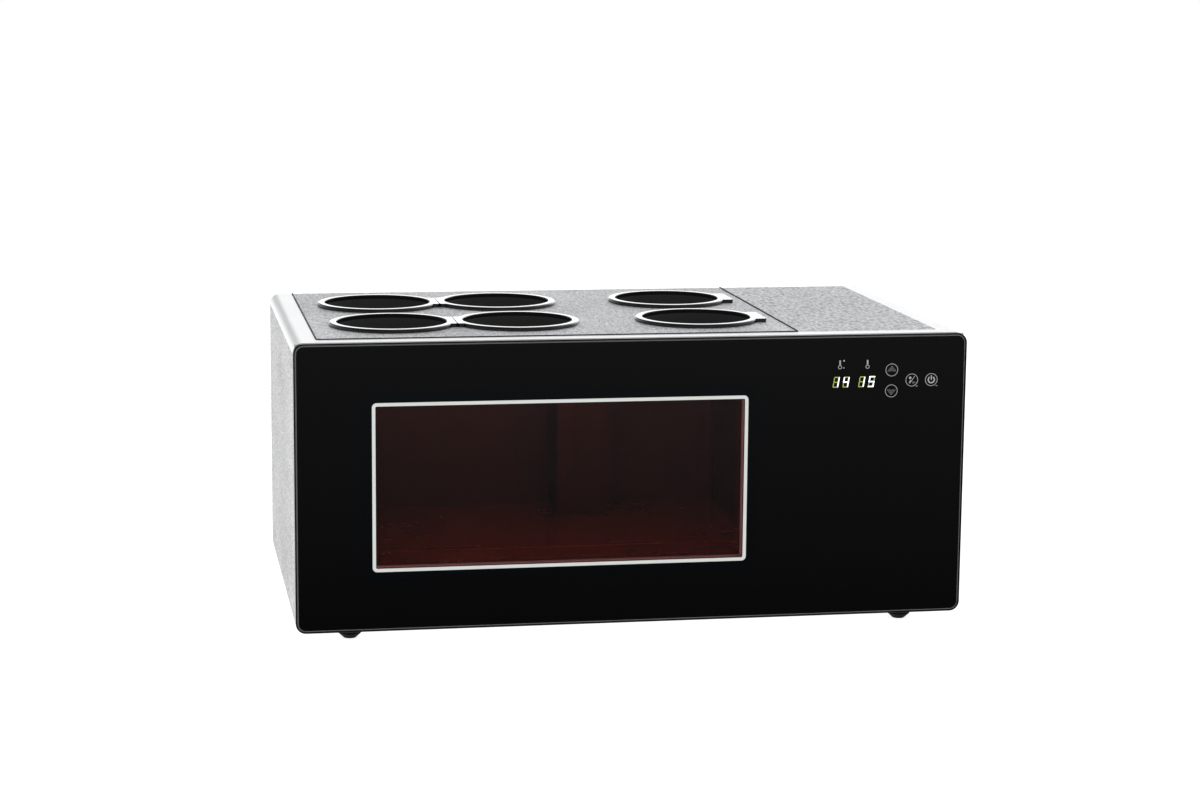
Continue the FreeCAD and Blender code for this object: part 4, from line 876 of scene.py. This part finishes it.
# %% Light key and power key
light = [ring("ring", LIGHT_X, KEY_MIDDLE, KEY_RADIUS, KEY_LINE),
         thicken(start_flat("lamp", ("disc", 0.0013, 16), LIGHT_X - 0.0017, KEY_MIDDLE + 0.0022)),
         bar("lamp_foot", LIGHT_X - 0.0018, KEY_MIDDLE - 0.0016, 0.0032, 0.0012, math.radians(-62)),
         bar("slash", LIGHT_X + 0.0004, KEY_MIDDLE + 0.0002, 0.0086, 0.0006, math.radians(-56))]
settle(join_all("key_light_ring", light), "printed_grey")
small_signs = [ring("degree", LIGHT_X + 0.0017, KEY_MIDDLE - 0.0026, 0.0010, 0.0004, 16),
               bar("stroke", LIGHT_X + 0.0033, KEY_MIDDLE - 0.0024, 0.0017, 0.0005, math.radians(-20)),
               bar("hold_dash", LIGHT_X + 0.0052, KEY_MIDDLE - 0.0062, 0.0024, 0.0008),
               bar("hold_dash", POWER_X + 0.0055, KEY_MIDDLE - 0.0062, 0.0022, 0.0008)]
settle(join_all("key_small_signs", small_signs), "printed_faint")

POWER_SIGN_RADIUS, POWER_LINE, POWER_GAP = 0.0038, 0.0013, 0.0017
power = start_flat("power_arc", ("disc", POWER_SIGN_RADIUS, 40), POWER_X, KEY_MIDDLE)
bpy.ops.mesh.inset(thickness=POWER_LINE)
bpy.ops.mesh.delete(type="FACE")
bpy.ops.object.mode_set(mode="OBJECT")
for face in power.data.polygons:
    face.select = face.center.y > 0 and abs(face.center.x) < POWER_GAP
bpy.ops.object.mode_set(mode="EDIT")
bpy.ops.mesh.delete(type="FACE")
thicken(power)
power_marks = [ring("ring", POWER_X, KEY_MIDDLE, KEY_RADIUS, KEY_LINE), power,
               bar("stroke", POWER_X, KEY_MIDDLE + 0.0022, 0.0046, POWER_LINE, math.pi / 2)]
settle(join_all("key_power_mark", power_marks), "printed_grey")

# %% [markdown]
# ## Holes of the glazing spacer
#
# The metal spacer between the window's panes is filled with drying grains and punched with a row of
# tiny holes, which the light inside picks out as a dotted line. One punched dimple is modelled, and
# an Array modifier repeats it along each side. The dimples' reddish colour and glow are painted light
# for that dotted line, brighter than the spacer's.

# %% Punched dimples
HOLE_PITCH, HOLE_RADIUS, HOLE_RISE = 0.0039, 0.0009, 0.00012
SPACER_WIDTH = 0.0080
spacer_low, spacer_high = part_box("window_spacer")
hole_depth_line = (spacer_low.y + spacer_high.y) / 2
inner_low = Vector((spacer_low.x + SPACER_WIDTH, hole_depth_line, spacer_low.z + SPACER_WIDTH))
inner_high = Vector((spacer_high.x - SPACER_WIDTH, hole_depth_line, spacer_high.z - SPACER_WIDTH))


def hole_row(first, step, count, facing):
    """Row of dimples from the first place on, each raised towards the inside of the window."""
    deselect_all()
    turn = Vector((0, 0, 1)).rotation_difference(Vector(facing)).to_euler()
    bpy.ops.mesh.primitive_circle_add(vertices=8, radius=HOLE_RADIUS, fill_type="NGON",
                                      location=first, rotation=turn)
    dimple = bpy.context.object
    dimple.name = "holes"
    bpy.ops.object.transform_apply(location=True, rotation=True, scale=True)
    bpy.ops.object.mode_set(mode="EDIT")
    bpy.ops.mesh.select_all(action="SELECT")
    rise = Vector(facing) * HOLE_RISE
    bpy.ops.mesh.extrude_region_move(TRANSFORM_OT_translate={"value": rise})
    bpy.ops.mesh.inset(thickness=HOLE_RADIUS * 0.3)
    bpy.ops.transform.translate(value=-rise * 0.7)
    bpy.ops.mesh.select_all(action="SELECT")
    bpy.ops.mesh.normals_make_consistent(inside=False)
    bpy.ops.object.mode_set(mode="OBJECT")
    repeat = dimple.modifiers.new("repeat", "ARRAY")
    repeat.count = count
    repeat.use_relative_offset = False
    repeat.use_constant_offset = True
    repeat.constant_offset_displace = step
    bpy.ops.object.modifier_apply(modifier="repeat")
    return dimple


across_count = int((inner_high.x - inner_low.x) / HOLE_PITCH) - 1
upright_count = int((inner_high.z - inner_low.z) / HOLE_PITCH) - 1
corner = Vector((inner_low.x + HOLE_PITCH, hole_depth_line, inner_low.z))
step_x, step_z = (HOLE_PITCH, 0, 0), (0, 0, HOLE_PITCH)
hole_rows = [hole_row(corner, step_x, across_count, (0, 0, 1)),
             hole_row(corner + Vector((0, 0, inner_high.z - inner_low.z)), step_x, across_count,
                      (0, 0, -1))]
corner = Vector((inner_low.x, hole_depth_line, inner_low.z + HOLE_PITCH))
hole_rows += [hole_row(corner, step_z, upright_count, (1, 0, 0)),
              hole_row(corner + Vector((inner_high.x - inner_low.x, 0, 0)), step_z, upright_count,
                       (-1, 0, 0))]
tree, shader = finish("spacer_holes", (0.30, 0.20, 0.18), (0.46, 0.30, 0.27), "brushed_metal", 0.0006,
                      1.4, gloss=(0.30, 0.3), metallic=0.6, relief=0.000005)
# painted light: the dimples glow red for the cavity's light that picks them out
glow(shader, (1.0, 0.30, 0.28), 0.75)
settle(join_all("spacer_holes", hole_rows), "spacer_holes")

# %% [markdown]
# ## Size of the dressed cooler
#
# The box round every piece that is shown is found.

# %% Size
low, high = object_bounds()
